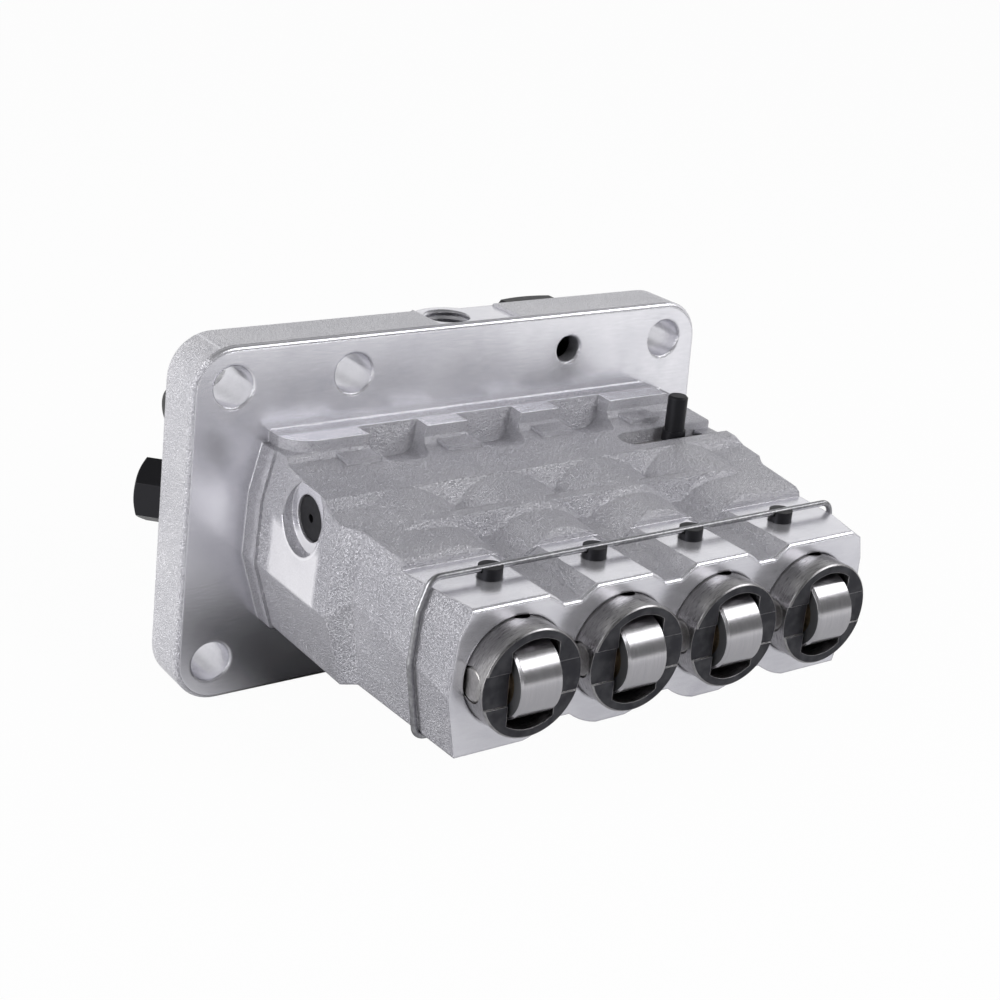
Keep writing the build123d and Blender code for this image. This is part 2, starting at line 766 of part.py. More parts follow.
# Roller tappets: a ground sleeve with an open ring end, the roller's pin, a bush and the roller
for number, x in enumerate(plunger_xs, start=1):
    with BuildPart() as tappet_body:
        turned(x, [
            (0, tappet_end_y),
            (tappet_d / 2 - tappet_edge, tappet_end_y),
            (tappet_d / 2, tappet_end_y + tappet_edge),
            (tappet_d / 2, tappet_rear_y - tappet_edge),
            (tappet_d / 2 - tappet_edge, tappet_rear_y),
            (tappet_cup_r, tappet_rear_y),
            (tappet_cup_r, tappet_web_y),
            (0, tappet_web_y),
        ])
        with BuildSketch(facing_rollers(tappet_end_y)):
            with Locations((x, 0)):
                Circle(tappet_opening_r)
                Rectangle(tappet_opening_width, tappet_d, mode=Mode.INTERSECT)
        extrude(amount=tappet_end_y - tappet_floor_y, mode=Mode.SUBTRACT)
        with BuildSketch(facing_rollers(tappet_end_y)):
            with Locations((x, 0)):
                Rectangle(tappet_d + 2, cheek_band_height)
        extrude(amount=-cheek_band_depth, mode=Mode.SUBTRACT)
        with BuildSketch(across_row(x - tappet_d)):
            with Locations((roller_y, 0)):
                Circle(roller_pin_d / 2 + press_gap)
        extrude(amount=2 * tappet_d, mode=Mode.SUBTRACT)
        guide_slot_rear_y = guide_pin_y + guide_pin_tip_d / 2 + free_gap
        with BuildSketch(level(guide_slot_floor_z)):
            slot_middle_y = (guide_slot_front_y + guide_slot_rear_y) / 2
            with Locations((x + guide_pin_offset, slot_middle_y)):
                SlotOverall(guide_slot_rear_y - guide_slot_front_y, guide_slot_width, rotation=90)
        extrude(amount=tappet_d, mode=Mode.SUBTRACT)
    write_part(tappet_body.part, "tappet_body_" + str(number))

    with BuildPart() as roller_pin:
        with BuildSketch(across_row(x - roller_pin_length / 2)):
            with Locations((roller_y, 0)):
                Circle(roller_pin_d / 2)
        extrude(amount=roller_pin_length)
        chamfer(roller_pin.edges().filter_by(GeomType.CIRCLE), roller_edge)
    write_part(roller_pin.part, "roller_pin_" + str(number))

    bush_inner_r = roller_pin_d / 2 + running_gap
    bush_outer_r = bush_inner_r + roller_bush_wall
    with BuildPart() as roller_bush:
        with BuildSketch(across_row(x - roller_width / 2)):
            with Locations((roller_y, 0)):
                Circle(bush_outer_r)
                Circle(bush_inner_r, mode=Mode.SUBTRACT)
        extrude(amount=roller_width)
    write_part(roller_bush.part, "roller_bush_" + str(number))

    with BuildPart() as roller:
        with BuildSketch(across_row(x - roller_width / 2)):
            with Locations((roller_y, 0)):
                Circle(roller_d / 2)
        extrude(amount=roller_width)
        chamfer(roller.edges().filter_by(GeomType.CIRCLE), roller_edge)
        with BuildSketch(across_row(x - roller_width)):
            with Locations((roller_y, 0)):
                Circle(bush_outer_r + press_gap)
        extrude(amount=2 * roller_width, mode=Mode.SUBTRACT)
    write_part(roller.part, "roller_" + str(number))

# Plungers, whose foot is held under the lower seat and whose vane turns them
seat_outer_r = tappet_cup_r - free_gap
seat_foot_y = tappet_web_y + seat_gap
seat_skirt_top_y = seat_foot_y + plunger_foot_height + 3 * seat_gap
seat_face_y = seat_skirt_top_y + lower_seat_thickness
plunger_r = plunger_d / 2 - running_gap / 2
groove_direction = facing_rollers(0).rotated((plunger_groove_tilt, 0, 0)).z_dir
for number, x in enumerate(plunger_xs, start=1):
    with BuildPart() as plunger:
        turned(x, [
            (0, seat_foot_y),
            (plunger_foot_r, seat_foot_y),
            (plunger_foot_r, seat_foot_y + plunger_foot_height),
            (plunger_r, seat_foot_y + plunger_foot_height),
            (plunger_r, plunger_top_y),
            (0, plunger_top_y),
        ])
        with BuildSketch(Plane(origin=(x, plunger_groove_y, 0), x_dir=(1, 0, 0), z_dir=groove_direction)):
            Circle(plunger_d)
            Circle(plunger_groove_r, mode=Mode.SUBTRACT)
        extrude(amount=plunger_groove_height / 2, both=True, mode=Mode.SUBTRACT)
        with BuildSketch(facing_rollers(plunger_top_y + 1)):
            with Locations((x, -plunger_d / 2)):
                Rectangle(plunger_slot_width, plunger_d - 2 * plunger_groove_r)
        extrude(amount=plunger_top_y + 1 - plunger_groove_y, mode=Mode.SUBTRACT)
        with BuildSketch(facing_rollers(vane_front_y + vane_height)):
            with Locations((x, 0)):
                Rectangle(2 * vane_half_length, sleeve_slot_width - 2 * seat_gap)
        extrude(amount=vane_height)
    write_part(plunger.part, "plunger_" + str(number))

    with BuildPart() as lower_seat:
        turned(x, [
            (seat_outer_r, seat_foot_y),
            (seat_outer_r, seat_face_y),
            (plunger_r + free_gap, seat_face_y),
            (plunger_r + free_gap, seat_skirt_top_y),
            (seat_outer_r - lower_seat_skirt_wall, seat_skirt_top_y),
            (seat_outer_r - lower_seat_skirt_wall, seat_foot_y),
        ])
    write_part(lower_seat.part, "lower_spring_seat_" + str(number))

    upper_seat_face_y = tappet_bore_inner_y - press_gap - upper_seat_thickness
    spring = coil_spring(x, seat_face_y, upper_seat_face_y, spring_mean_r, spring_wire_d, spring_turns)
    write_part(spring, "plunger_spring_" + str(number))

    sleeve_inner_r = barrel_nose_r + running_gap
    sleeve_outer_r = sleeve_inner_r + sleeve_wall
    with BuildPart() as control_sleeve:
        turned(x, [
            (0, sleeve_front_y),
            (sleeve_outer_r, sleeve_front_y),
            (sleeve_outer_r, sleeve_rear_y),
            (0, sleeve_rear_y),
        ])
        with BuildSketch(level(sleeve_outer_r - sleeve_wall / 2)):
            with Locations((x, rack_y)):
                Circle(lever_arm_r)
        extrude(amount=lever_ball_z - sleeve_outer_r + sleeve_wall / 2)
        with Locations((x, rack_y, lever_ball_z)):
            Sphere(lever_ball_r)
        turned(x, [
            (0, sleeve_front_y - 1),
            (sleeve_inner_r, sleeve_front_y - 1),
            (sleeve_inner_r, sleeve_rear_y + 1),
            (0, sleeve_rear_y + 1),
        ], mode=Mode.SUBTRACT)
        with BuildSketch(facing_rollers(sleeve_slot_rear_y)):
            with Locations((x, 0)):
                Rectangle(2 * sleeve_outer_r + 2, sleeve_slot_width)
        extrude(amount=sleeve_slot_rear_y - sleeve_front_y + 1, mode=Mode.SUBTRACT)
    write_part(control_sleeve.part, "control_sleeve_" + str(number))

# Upper spring seats: rings against the step at the inner end of the tappet bores
with BuildPart() as upper_spring_seats:
    for x in plunger_xs:
        turned(x, [
            (upper_seat_bore_r, upper_seat_face_y),
            (tappet_bore_r - free_gap, upper_seat_face_y),
            (tappet_bore_r - free_gap, upper_seat_face_y + upper_seat_thickness),
            (upper_seat_bore_r, upper_seat_face_y + upper_seat_thickness),
        ])
write_part(upper_spring_seats.part, "upper_spring_seats")

# Barrels, with a feed port on each side at the height of the fuel chamber
with BuildPart() as barrels:
    for x in plunger_xs:
        turned(x, [
            (plunger_d / 2, barrel_nose_y),
            (barrel_nose_r, barrel_nose_y),
            (barrel_nose_r, barrel_step_y),
            (barrel_r - press_gap, barrel_step_y),
            (barrel_r - press_gap, barrel_shoulder_y + press_gap),
            (barrel_shoulder_r - press_gap, barrel_shoulder_y + press_gap),
            (barrel_shoulder_r - press_gap, barrel_top_y),
            (plunger_d / 2, barrel_top_y),
        ])
    with BuildSketch(level(-plunger_pitch)):
        for x in plunger_xs:
            with Locations((x, inlet_y)):
                Circle(feed_port_d / 2)
    extrude(amount=2 * plunger_pitch, mode=Mode.SUBTRACT)
write_part(barrels.part, "barrels")

# Delivery valve seats, washers, holders and O-rings
collar_top_y = barrel_top_y + press_gap + valve_seat_collar
gasket_top_y = collar_top_y + press_gap + gasket_thickness
holder_foot_y = gasket_top_y + press_gap
spring_stop_y = valve_seat_top_y + valve_head_height + valve_spring_room
with BuildPart() as valve_seats:
    for x in plunger_xs:
        turned(x, [
            (valve_stem_r + running_gap / 2, barrel_top_y + press_gap),
            (valve_seat_r, barrel_top_y + press_gap),
            (valve_seat_r, collar_top_y),
            (valve_seat_neck_r, collar_top_y),
            (valve_seat_neck_r, valve_seat_top_y),
            (valve_stem_r + running_gap / 2, valve_seat_top_y),
        ])
write_part(valve_seats.part, "delivery_valve_seats")

with BuildPart() as seat_gaskets:
    for x in plunger_xs:
        turned(x, [
            (valve_seat_neck_r + press_gap, collar_top_y + press_gap),
            (valve_seat_r, collar_top_y + press_gap),
            (valve_seat_r, gasket_top_y),
            (valve_seat_neck_r + press_gap, gasket_top_y),
        ])
write_part(seat_gaskets.part, "valve_seat_gaskets")

with BuildPart() as delivery_holders:
    for x in plunger_xs:
        turned(x, [
            (holder_lower_r, holder_foot_y),
            (holder_thread_r - press_gap, holder_foot_y),
            (holder_thread_r - press_gap, o_ring_seat_y - press_gap),
            (holder_neck_at_ring_r, o_ring_seat_y - press_gap),
            (holder_neck_at_ring_r, holder_collar_y),
            (holder_collar_r, holder_collar_y),
            (holder_collar_r, holder_hex_y),
            (holder_neck_r, holder_hex_y),
            (holder_neck_r, outlet_y),
            (outlet_thread_d / 2, outlet_y),
            (outlet_thread_d / 2, outlet_y + outlet_length - outlet_edge),
            (outlet_thread_d / 2 - outlet_edge, outlet_y + outlet_length),
            (outlet_cone_d / 2, outlet_y + outlet_length),
            (outlet_bore_d / 2, outlet_y + outlet_length - outlet_cone_depth),
            (outlet_bore_d / 2, spring_stop_y),
            (holder_bore_r, spring_stop_y),
            (holder_bore_r, valve_seat_top_y + free_gap),
            (holder_lower_r, valve_seat_top_y + free_gap),
        ])
        with BuildSketch(facing_outlets(x, holder_hex_y, 0)):
            RegularPolygon(holder_hex / 2, 6, major_radius=False, rotation=30)
            Circle(holder_bore_r + 0.1, mode=Mode.SUBTRACT)
        extrude(amount=holder_hex_height)
write_part(delivery_holders.part, "delivery_valve_holders")

with BuildPart() as holder_o_rings:
    for x in plunger_xs:
        with BuildSketch(level(0)):
            with Locations((x + o_ring_mean_r, (o_ring_seat_y + holder_collar_y) / 2)):
                Circle(o_ring_r)
        revolve(axis=Axis((x, 0, 0), (0, 1, 0)))
write_part(holder_o_rings.part, "holder_o_rings")

# Delivery valves with fluted stems, and their springs
for number, x in enumerate(plunger_xs, start=1):
    head_y = valve_seat_top_y + press_gap
    with BuildPart() as delivery_valve:
        turned(x, [
            (0, valve_stem_foot_y),
            (valve_stem_r, valve_stem_foot_y),
            (valve_stem_r, head_y),
            (valve_head_r, head_y),
            (valve_head_r, head_y + valve_head_height),
            (valve_peg_r, head_y + valve_head_height),
            (valve_peg_r, head_y + valve_head_height + valve_peg_height),
            (0, head_y + valve_head_height + valve_peg_height),
        ])
        with BuildSketch(facing_outlets(x, valve_stem_foot_y, 0)):
            with PolarLocations(valve_stem_r, valve_flute_count):
                Circle(valve_stem_r / 2)
        extrude(amount=valve_flute_length, mode=Mode.SUBTRACT)
    write_part(delivery_valve.part, "delivery_valve_" + str(number))
    spring = coil_spring(
        x,
        head_y + valve_head_height,
        spring_stop_y,
        valve_spring_mean_r,
        valve_spring_wire_d,
        valve_spring_turns,
    )
    write_part(spring, "delivery_spring_" + str(number))

# Lock plates between pairs of holders, with a tongue between their flats
tongue_width = plunger_pitch - holder_hex - 2 * seat_gap
with BuildPart() as lock_plates:
    for x in lock_xs:
        with BuildSketch(lock_side(x, lock_plate_y)):
            with Locations((0, (lock_plate_head_offset - lock_tongue_length) / 2)):
                Rectangle(tongue_width, lock_plate_head_offset + lock_tongue_length)
            with Locations((0, lock_plate_head_offset + lock_plate_height / 2)):
                RectangleRounded(lock_plate_length, lock_plate_height, lock_plate_corner)
            with Locations((0, lock_screw_offset)):
                Circle(lock_screw_d / 2 + seat_gap, mode=Mode.SUBTRACT)
        extrude(amount=lock_plate_thickness)
write_part(lock_plates.part, "lock_plates")

with BuildPart() as lock_screws:
    for x in lock_xs:
        screw_seat = facing_outlets(x, lock_plate_y + lock_plate_thickness, -lock_screw_offset)
        hex_head(screw_seat, lock_screw_hex, lock_screw_head)
        with BuildSketch(screw_seat):
            Circle(lock_screw_d / 2)
        extrude(amount=-lock_screw_length)
write_part(lock_screws.part, "lock_screws")

# Control rack: a round bar with a notch over each lever, and the upright pin that drives it
rack_r = rack_bore_d / 2 - running_gap
notch_half_width = lever_ball_r + rack_notch_gap
rack_end_space = rack_plug_recess + rack_plug_thickness + rack_travel + rack_end_gap
rack_left_x = rack_plug_left + rack_end_space
rack_right_x = rack_plug_right - rack_end_space
with BuildPart() as control_rack:
    with BuildSketch(across_row(rack_left_x)):
        with Locations((rack_y, rack_z)):
            Circle(rack_r)
    extrude(amount=rack_right_x - rack_left_x)
    chamfer(control_rack.edges().filter_by(GeomType.CIRCLE), rack_edge)
    for x in plunger_xs:
        with BuildSketch(level(lever_ball_z + lever_ball_r + free_gap)):
            with Locations((x, rack_y)):
                Rectangle(2 * notch_half_width, rack_bore_d + 2)
        extrude(amount=-rack_bore_d, mode=Mode.SUBTRACT)
    with BuildSketch(level(rack_pin_foot_z)):
        with Locations((rack_pin_x, rack_y)):
            Circle(rack_pin_d / 2 + press_gap)
    extrude(amount=rack_bore_d, mode=Mode.SUBTRACT)
write_part(control_rack.part, "control_rack")

with BuildPart() as rack_pin:
    with BuildSketch(level(rack_pin_foot_z + press_gap)):
        with Locations((rack_pin_x, rack_y)):
            Circle(rack_pin_d / 2)
    extrude(amount=rack_pin_top_z - rack_pin_foot_z - press_gap)
    chamfer(rack_pin.edges().filter_by(GeomType.CIRCLE).sort_by(Axis.Z)[-1], rack_pin_chamfer)
    with BuildSketch(level(rack_z + rack_r + press_gap)):
        with Locations((rack_pin_x, rack_y)):
            Circle(rack_pin_collar_d / 2)
    extrude(amount=rack_pin_collar_top_z - rack_z - rack_r - press_gap)
write_part(rack_pin.part, "rack_pin")

# Plugs at both ends of the rack bore, with a centre dimple
rack_ends = [(rack_plug_left, -1, "rack_plug_left"), (rack_plug_right, 1, "rack_plug_right")]
for face_x, outward, label in rack_ends:
    outer_x = face_x - outward * rack_plug_recess
    with BuildPart() as rack_plug:
        with BuildSketch(across_row(outer_x)):
            with Locations((rack_y, rack_z)):
                Circle(rack_bore_d / 2 - press_gap)
        extrude(amount=-outward * rack_plug_thickness)
        rims = rack_plug.edges().filter_by(GeomType.CIRCLE).sort_by(Axis.X)
        fillet(rims[0] if outward < 0 else rims[-1], rack_plug_edge)
        with BuildSketch(across_row(outer_x)):
            with Locations((rack_y, rack_z)):
                Circle(rack_plug_dimple_r)
        extrude(amount=-outward * rack_plug_dimple_depth, mode=Mode.SUBTRACT)
    write_part(rack_plug.part, label)

# Guide pins: a cross slot at the top for the wire, and a thinner tip in the tappet's slot
wire_r = wire_d / 2
wire_z = facet_z + wire_stand + wire_r
with BuildPart() as guide_pins:
    for x in guide_pin_xs:
        with BuildSketch(level(guide_pin_foot_z)):
            with Locations((x, guide_pin_y)):
                Circle(guide_pin_d / 2)
        extrude(amount=guide_pin_top_z - guide_pin_foot_z)
        with BuildSketch(level(guide_slot_floor_z + free_gap)):
            with Locations((x, guide_pin_y)):
                Circle(guide_pin_tip_d / 2)
        extrude(amount=guide_pin_foot_z - guide_slot_floor_z - free_gap)
    with BuildSketch(level(wire_z - wire_r)):
        with Locations((0, guide_pin_y)):
            Rectangle(4 * plunger_pitch, wire_d + 2 * wire_slot_gap)
    extrude(amount=guide_pin_top_z, mode=Mode.SUBTRACT)
write_part(guide_pins.part, "guide_pins")


def body_outline_at(y):
    """The body's outline at y, between the one before the step and the one at the end."""
    share = (y - step_front_y) / (-body_length - step_front_y)
    return [
        (a[0] + share * (b[0] - a[0]), a[1] + share * (b[1] - a[1]))
        for a, b in zip(front_outline, end_outline)
    ]


def edge_x_at(upper, lower, z):
    """The x at which the line between two outline points crosses the height z."""
    return upper[0] + (upper[1] - z) / (upper[1] - lower[1]) * (lower[0] - upper[0])


# Wire clip: over the pins, down both sides of the body and hooked under it
side = body_outline_at(guide_pin_y)
stand_off = wire_r + wire_side_gap
with BuildPart() as wire_clip:
    with BuildSketch(facing_rollers(guide_pin_y), mode=Mode.PRIVATE):
        with BuildLine() as wire_path:
            FilletPolyline(
                (side[3][0] + wire_hook_length, side[3][1] - stand_off),
                (side[3][0] - stand_off, side[3][1] - stand_off),
                (side[2][0] - stand_off, side[2][1]),
                (side[1][0] - stand_off, side[1][1]),
                (edge_x_at(side[0], side[1], wire_z) - wire_corner_offset, wire_z),
                (edge_x_at(side[7], side[6], wire_z) + wire_corner_offset, wire_z),
                (side[6][0] + stand_off, side[6][1]),
                (side[5][0] + stand_off, side[5][1]),
                (side[4][0] + stand_off, side[4][1] - stand_off),
                (side[4][0] - wire_hook_length, side[4][1] - stand_off),
                radius=wire_bend_r,
            )
    clip_line = facing_rollers(guide_pin_y).from_local_coords(wire_path.line)
    with BuildSketch(Plane(origin=clip_line @ 0, z_dir=clip_line % 0)):
        Circle(wire_r)
    sweep(path=clip_line)
write_part(wire_clip.part, "wire_clip")

# Hex plug on the flange's rear face, behind the passage
with BuildPart() as rear_plug:
    rear_seat = facing_outlets(rear_plug_x, flange_thickness + rear_washer_thickness, rear_plug_z)
    hex_head(rear_seat, rear_plug_hex, rear_plug_head)
    plug_foot = flange_thickness - rear_plug_thread_length
    turned_on(facing_outlets(rear_plug_x, 0, rear_plug_z), [
        (rear_plug_hollow_r, plug_foot),
        (rear_plug_thread_d / 2 - press_gap, plug_foot),
        (rear_plug_thread_d / 2 - press_gap, flange_thickness + rear_washer_thickness),
        (0, flange_thickness + rear_washer_thickness),
        (0, flange_thickness),
        (rear_plug_hollow_r, flange_thickness),
    ])
write_part(rear_plug.part, "rear_hex_plug")

# Soft washers under the hex plug and under the vent screw
with BuildPart() as sealing_washers:
    with BuildSketch(facing_outlets(rear_plug_x, flange_thickness, rear_plug_z)):
        Circle(rear_washer_d / 2)
        Circle(rear_plug_thread_d / 2 + seat_gap, mode=Mode.SUBTRACT)
    extrude(amount=rear_washer_thickness)
    with BuildSketch(vent_face):
        Circle(vent_washer_d / 2)
        Circle(vent_thread_d / 2 + seat_gap, mode=Mode.SUBTRACT)
    extrude(amount=vent_washer_thickness)
write_part(sealing_washers.part, "sealing_washers")

# Vent screw on the slanting boss
with BuildPart() as vent_screw:
    hex_head(vent_face.offset(vent_washer_thickness), vent_hex, vent_head)
    with BuildSketch(vent_face.offset(vent_washer_thickness)):
        Circle(vent_thread_d / 2)
    extrude(amount=-vent_thread_length)
write_part(vent_screw.part, "vent_screw")

# Black cap in the return port
with BuildPart() as return_cap:
    with BuildSketch(return_face):
        Circle(return_cap_r)
    extrude(amount=return_cap_height)
    fillet(return_cap.edges().filter_by(GeomType.CIRCLE).sort_by(Axis.X)[0], return_cap_edge)
    with BuildSketch(return_face):
        Circle(return_stub_r)
    extrude(amount=-return_stub_length)
write_part(return_cap.part, "return_port_cap")

# Plug at the open end of the fuel gallery, with a hexagon socket
with BuildPart() as gallery_plug:
    with BuildSketch(across_row(gallery_plug_face_x - gallery_plug_length + press_gap)):
        with Locations((inlet_y, gallery_z)):
            Circle(gallery_plug_d / 2)
    extrude(amount=gallery_plug_length - press_gap)
    with BuildSketch(across_row(gallery_plug_face_x)):
        with Locations((inlet_y, gallery_z)):
            RegularPolygon(gallery_plug_key / 2, 6, major_radius=False)
    extrude(amount=-gallery_plug_key_depth, mode=Mode.SUBTRACT)
write_part(gallery_plug.part, "gallery_plug")
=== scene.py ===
# %% [markdown]
# # An in-line diesel injection pump
#
# The real object is one aluminium casting with a machined flange, four ground
# steel roller tappets, a control rack with an upright pin and four threaded
# outlets. The CAD model already holds every solid at its true size, so this
# lesson adds what the eye needs: finishes, threads, copies of the springs, soft
# studio light and a camera.

import json
import math

import bmesh
import bpy
from mathutils import Matrix, Vector


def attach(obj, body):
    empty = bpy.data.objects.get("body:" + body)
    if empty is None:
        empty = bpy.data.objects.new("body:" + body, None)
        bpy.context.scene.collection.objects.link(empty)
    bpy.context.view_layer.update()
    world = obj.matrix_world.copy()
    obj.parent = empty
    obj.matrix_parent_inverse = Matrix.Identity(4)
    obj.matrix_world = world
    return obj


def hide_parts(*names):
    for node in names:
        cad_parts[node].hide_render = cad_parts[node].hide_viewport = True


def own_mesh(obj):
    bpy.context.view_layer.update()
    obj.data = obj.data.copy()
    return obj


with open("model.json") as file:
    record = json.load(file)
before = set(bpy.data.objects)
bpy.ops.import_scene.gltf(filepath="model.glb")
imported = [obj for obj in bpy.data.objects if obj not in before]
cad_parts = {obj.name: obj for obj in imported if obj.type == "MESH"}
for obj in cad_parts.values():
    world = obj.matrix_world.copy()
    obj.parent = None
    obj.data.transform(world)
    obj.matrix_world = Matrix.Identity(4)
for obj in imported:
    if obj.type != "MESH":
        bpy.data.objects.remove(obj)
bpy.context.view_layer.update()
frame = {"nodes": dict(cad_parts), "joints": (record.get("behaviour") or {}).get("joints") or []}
nodes = frame["nodes"]
scene = bpy.context.scene
print("nodes loaded:", len(nodes))

# %% [markdown]
# ## Shader maths as plain expressions
#
# A finish is a small formula: where the surface was machined, how coarse the
# sand grain is, how worn an edge looks. Node graphs hide such formulas, so a
# wire of the graph is wrapped in a class whose operators add Math nodes. The
# formula can then be read as ordinary arithmetic.

# %% A wire that does arithmetic
class Wire:
    """One output socket of a shader graph, with arithmetic."""

    def __init__(self, graph, socket):
        self.graph = graph
        self.socket = socket

    def maths(self, operation, *others):
        values = dict(enumerate((self,) + others))
        return self.graph.node("ShaderNodeMath", {"operation": operation}, values)

    def __add__(self, other):
        return self.maths("ADD", other)

    def __sub__(self, other):
        return self.maths("SUBTRACT", other)

    def __mul__(self, other):
        return self.maths("MULTIPLY", other)

    def __truediv__(self, other):
        return self.maths("DIVIDE", other)

    def __rsub__(self, other):
        return self.graph.node("ShaderNodeMath", {"operation": "SUBTRACT"}, {0: other, 1: self})

    def __rtruediv__(self, other):
        return self.graph.node("ShaderNodeMath", {"operation": "DIVIDE"}, {0: other, 1: self})

    __radd__ = __add__
    __rmul__ = __mul__

    def most(self, other):
        """The larger of the two."""
        return self.maths("MAXIMUM", other)

    def size(self):
        """The value without its sign."""
        return self.maths("ABSOLUTE")

    def step(self, low, high):
        """0 below low, 1 above high, smooth between; low may be the larger one."""
        settings = {"interpolation_type": "SMOOTHSTEP"}
        return self.graph.node("ShaderNodeMapRange", settings, {"Value": self, 1: low, 2: high})


# %% A graph of shader nodes
class Graph:
    """Adds nodes to one node tree and hands back their outputs as wires."""

    def __init__(self, tree):
        self.tree = tree

    def node(self, kind, settings=None, inputs=None, output=0):
        node = self.tree.nodes.new(kind)
        for key, value in (settings or {}).items():
            setattr(node, key, value)
        for key, value in (inputs or {}).items():
            self.plug(node.inputs[key], value)
        return Wire(self, node.outputs[output])

    def plug(self, socket, value):
        """Link a wire to a socket, or write a plain value into it."""
        if isinstance(value, Wire):
            self.tree.links.new(value.socket, socket)
        elif isinstance(value, tuple) and len(value) == 3 and socket.type == "RGBA":
            socket.default_value = value + (1.0,)
        else:
            socket.default_value = value

    def outputs_of(self, kind, *names):
        node = self.node(kind).socket.node
        return [Wire(self, node.outputs[name]) for name in names]

    def vector(self, operation, first, second=None, scale=None, output=0):
        inputs = {0: first}
        if second is not None:
            inputs[1] = second
        if scale is not None:
            inputs["Scale"] = scale
        return self.node("ShaderNodeVectorMath", {"operation": operation}, inputs, output)

    def split(self, vector):
        node = self.node("ShaderNodeSeparateXYZ", inputs={0: vector}).socket.node
        return [Wire(self, socket) for socket in node.outputs]

    def join(self, x, y, z):
        return self.node("ShaderNodeCombineXYZ", inputs={0: x, 1: y, 2: z})

    def mix(self, share, first, second, blend_type="MIX"):
        """Two colours; the node's colour sockets are numbers 6 and 7, its output 2."""
        settings = {"data_type": "RGBA", "blend_type": blend_type, "clamp_factor": True}
        inputs = {"Factor": share, 6: first, 7: second}
        return self.node("ShaderNodeMix", settings, inputs, output=2)

    def blend(self, share, first, second):
        """Two numbers or value wires, on the node's sockets 2 and 3."""
        inputs = {"Factor": share, 2: first, 3: second}
        return self.node("ShaderNodeMix", {"clamp_factor": True}, inputs)


# %% A finish: one material, with its patterns placed in millimetres
MM = 1000.0


class Finish(Graph):
    """One Principled material with masks, grain and relief in millimetres."""

    def __init__(self, name, metallic=0.0):
        self.material = bpy.data.materials.new(name)
        self.material.use_nodes = True
        super().__init__(self.material.node_tree)
        self.shader = self.tree.nodes["Principled BSDF"]
        self.set("Metallic", metallic)
        place = self.node("ShaderNodeTexCoord", output="Object")
        self.point = self.vector("SCALE", place, scale=MM)
        self.x, self.y, self.z = self.split(self.point)
        self.face = self.node("ShaderNodeNewGeometry", output="True Normal")
        self.nx, self.ny, self.nz = self.split(self.face)

    def set(self, name, value):
        self.plug(self.shader.inputs[name], value)

    def noise(self, scale, detail=2.0, roughness=0.5, vector=None):
        inputs = {
            "Vector": vector or self.point,
            "Scale": scale,
            "Detail": detail,
            "Roughness": roughness,
        }
        return self.node("ShaderNodeTexNoise", inputs=inputs)

    def bump(self, height, strength, depth, normal=None):
        """Height in 0 to 1, depth in millimetres for its full range."""
        inputs = {"Height": height, "Strength": strength, "Distance": depth / MM}
        if normal is not None:
            inputs["Normal"] = normal
        return self.node("ShaderNodeBump", inputs=inputs)

    def soft_edges(self, radius):
        """The normal of an edge that is rounded by a radius in millimetres."""
        return self.node("ShaderNodeBevel", {"samples": 4}, {"Radius": radius / MM})

    def edge_wear_and_highlight(self, rounded):
        """1 along the edges where a rounded normal leaves the face's own."""
        return self.vector("DOT_PRODUCT", rounded, self.face, output=1).step(0.99, 0.90)

    def ring(self, first, second, middle, inner, outer):
        """1 inside a circle about a point, from the outer radius to the inner one."""
        across = first - middle[0]
        along = second - middle[1]
        return (across * across + along * along).step(outer * outer, inner * inner)


# %% Putting a finish on the CAD nodes
def dress(finish, *names):
    """Give CAD nodes their finish."""
    for name in names:
        node = nodes[name]
        node.data.materials.clear()
        node.data.materials.append(finish.material)
    print(finish.material.name, "on", len(names), "nodes")


def each(name):
    """The four copies of a numbered piece."""
    return [f"{name}_{n}" for n in range(1, 5)]


# %% [markdown]
# ## The casting
#
# The housing is sand-cast aluminium. Everything that seals, guides or locates
# was then milled: the flange's front, the end face, the facets under the wire,
# the shelf beside the flange and the bores. Two materials could be painted on
# chosen faces, but the skin and the cuts run into each other inside one face.
# So one finish covers both, because it is one piece of metal, and masks made of
# position and face direction say which areas the cutter reached.

# %% Helpers for masks
def facing(part, sign=1.0):
    """1 where the face looks along an axis, or against it with the sign -1."""
    return (part * sign).step(0.90, 0.97)


def level_with(part, place):
    """1 within a tenth of a millimetre of a place, 0 from three tenths on."""
    return (part - place).size().step(0.3, 0.1)


def any_of(*masks):
    """1 where at least one of the masks is 1."""
    whole = masks[0]
    for mask in masks[1:]:
        whole = whole.most(mask)
    return whole


# %% Masks for the machined areas of the casting, places in millimetres
BODY_END = -73.0
END_BEVEL = 0.7
FLANGE_BEVEL = 1.2
FLANGE_DEPTH = 13.3
HEAD_END = 46.0
FACET_HEIGHT = 14.5
FACET_REAR = -52.4
SHELF_TOP = 25.4
SPOT_TOP = 43.9
RACK_AXIS = (-21.5, 13.8)
cast = Finish("cast_aluminium_finish")
to_front = facing(cast.ny, sign=-1.0)
to_top = facing(cast.nz)
flange_front = to_front * cast.y.step(-0.6, -0.3)
flange_back = facing(cast.ny) * level_with(cast.y, FLANGE_DEPTH)
head_face = facing(cast.ny) * cast.y.step(HEAD_END - 0.5, HEAD_END - 0.2)
end_face = to_front * cast.y.step(BODY_END + 0.6, BODY_END + 0.3)
facets = to_top * level_with(cast.z, FACET_HEIGHT) * cast.y.step(FACET_REAR + 0.2, FACET_REAR)
shelf = to_top * level_with(cast.z, SHELF_TOP)
spot_face = to_top * level_with(cast.z, SPOT_TOP)
rack_ring = cast.ring(cast.y, cast.z, RACK_AXIS, inner=8.2, outer=8.5)
rack_spot = rack_ring * cast.nx.size().step(0.97, 0.99)
near_end = cast.y.step(BODY_END + END_BEVEL + 0.05, BODY_END + END_BEVEL - 0.05)
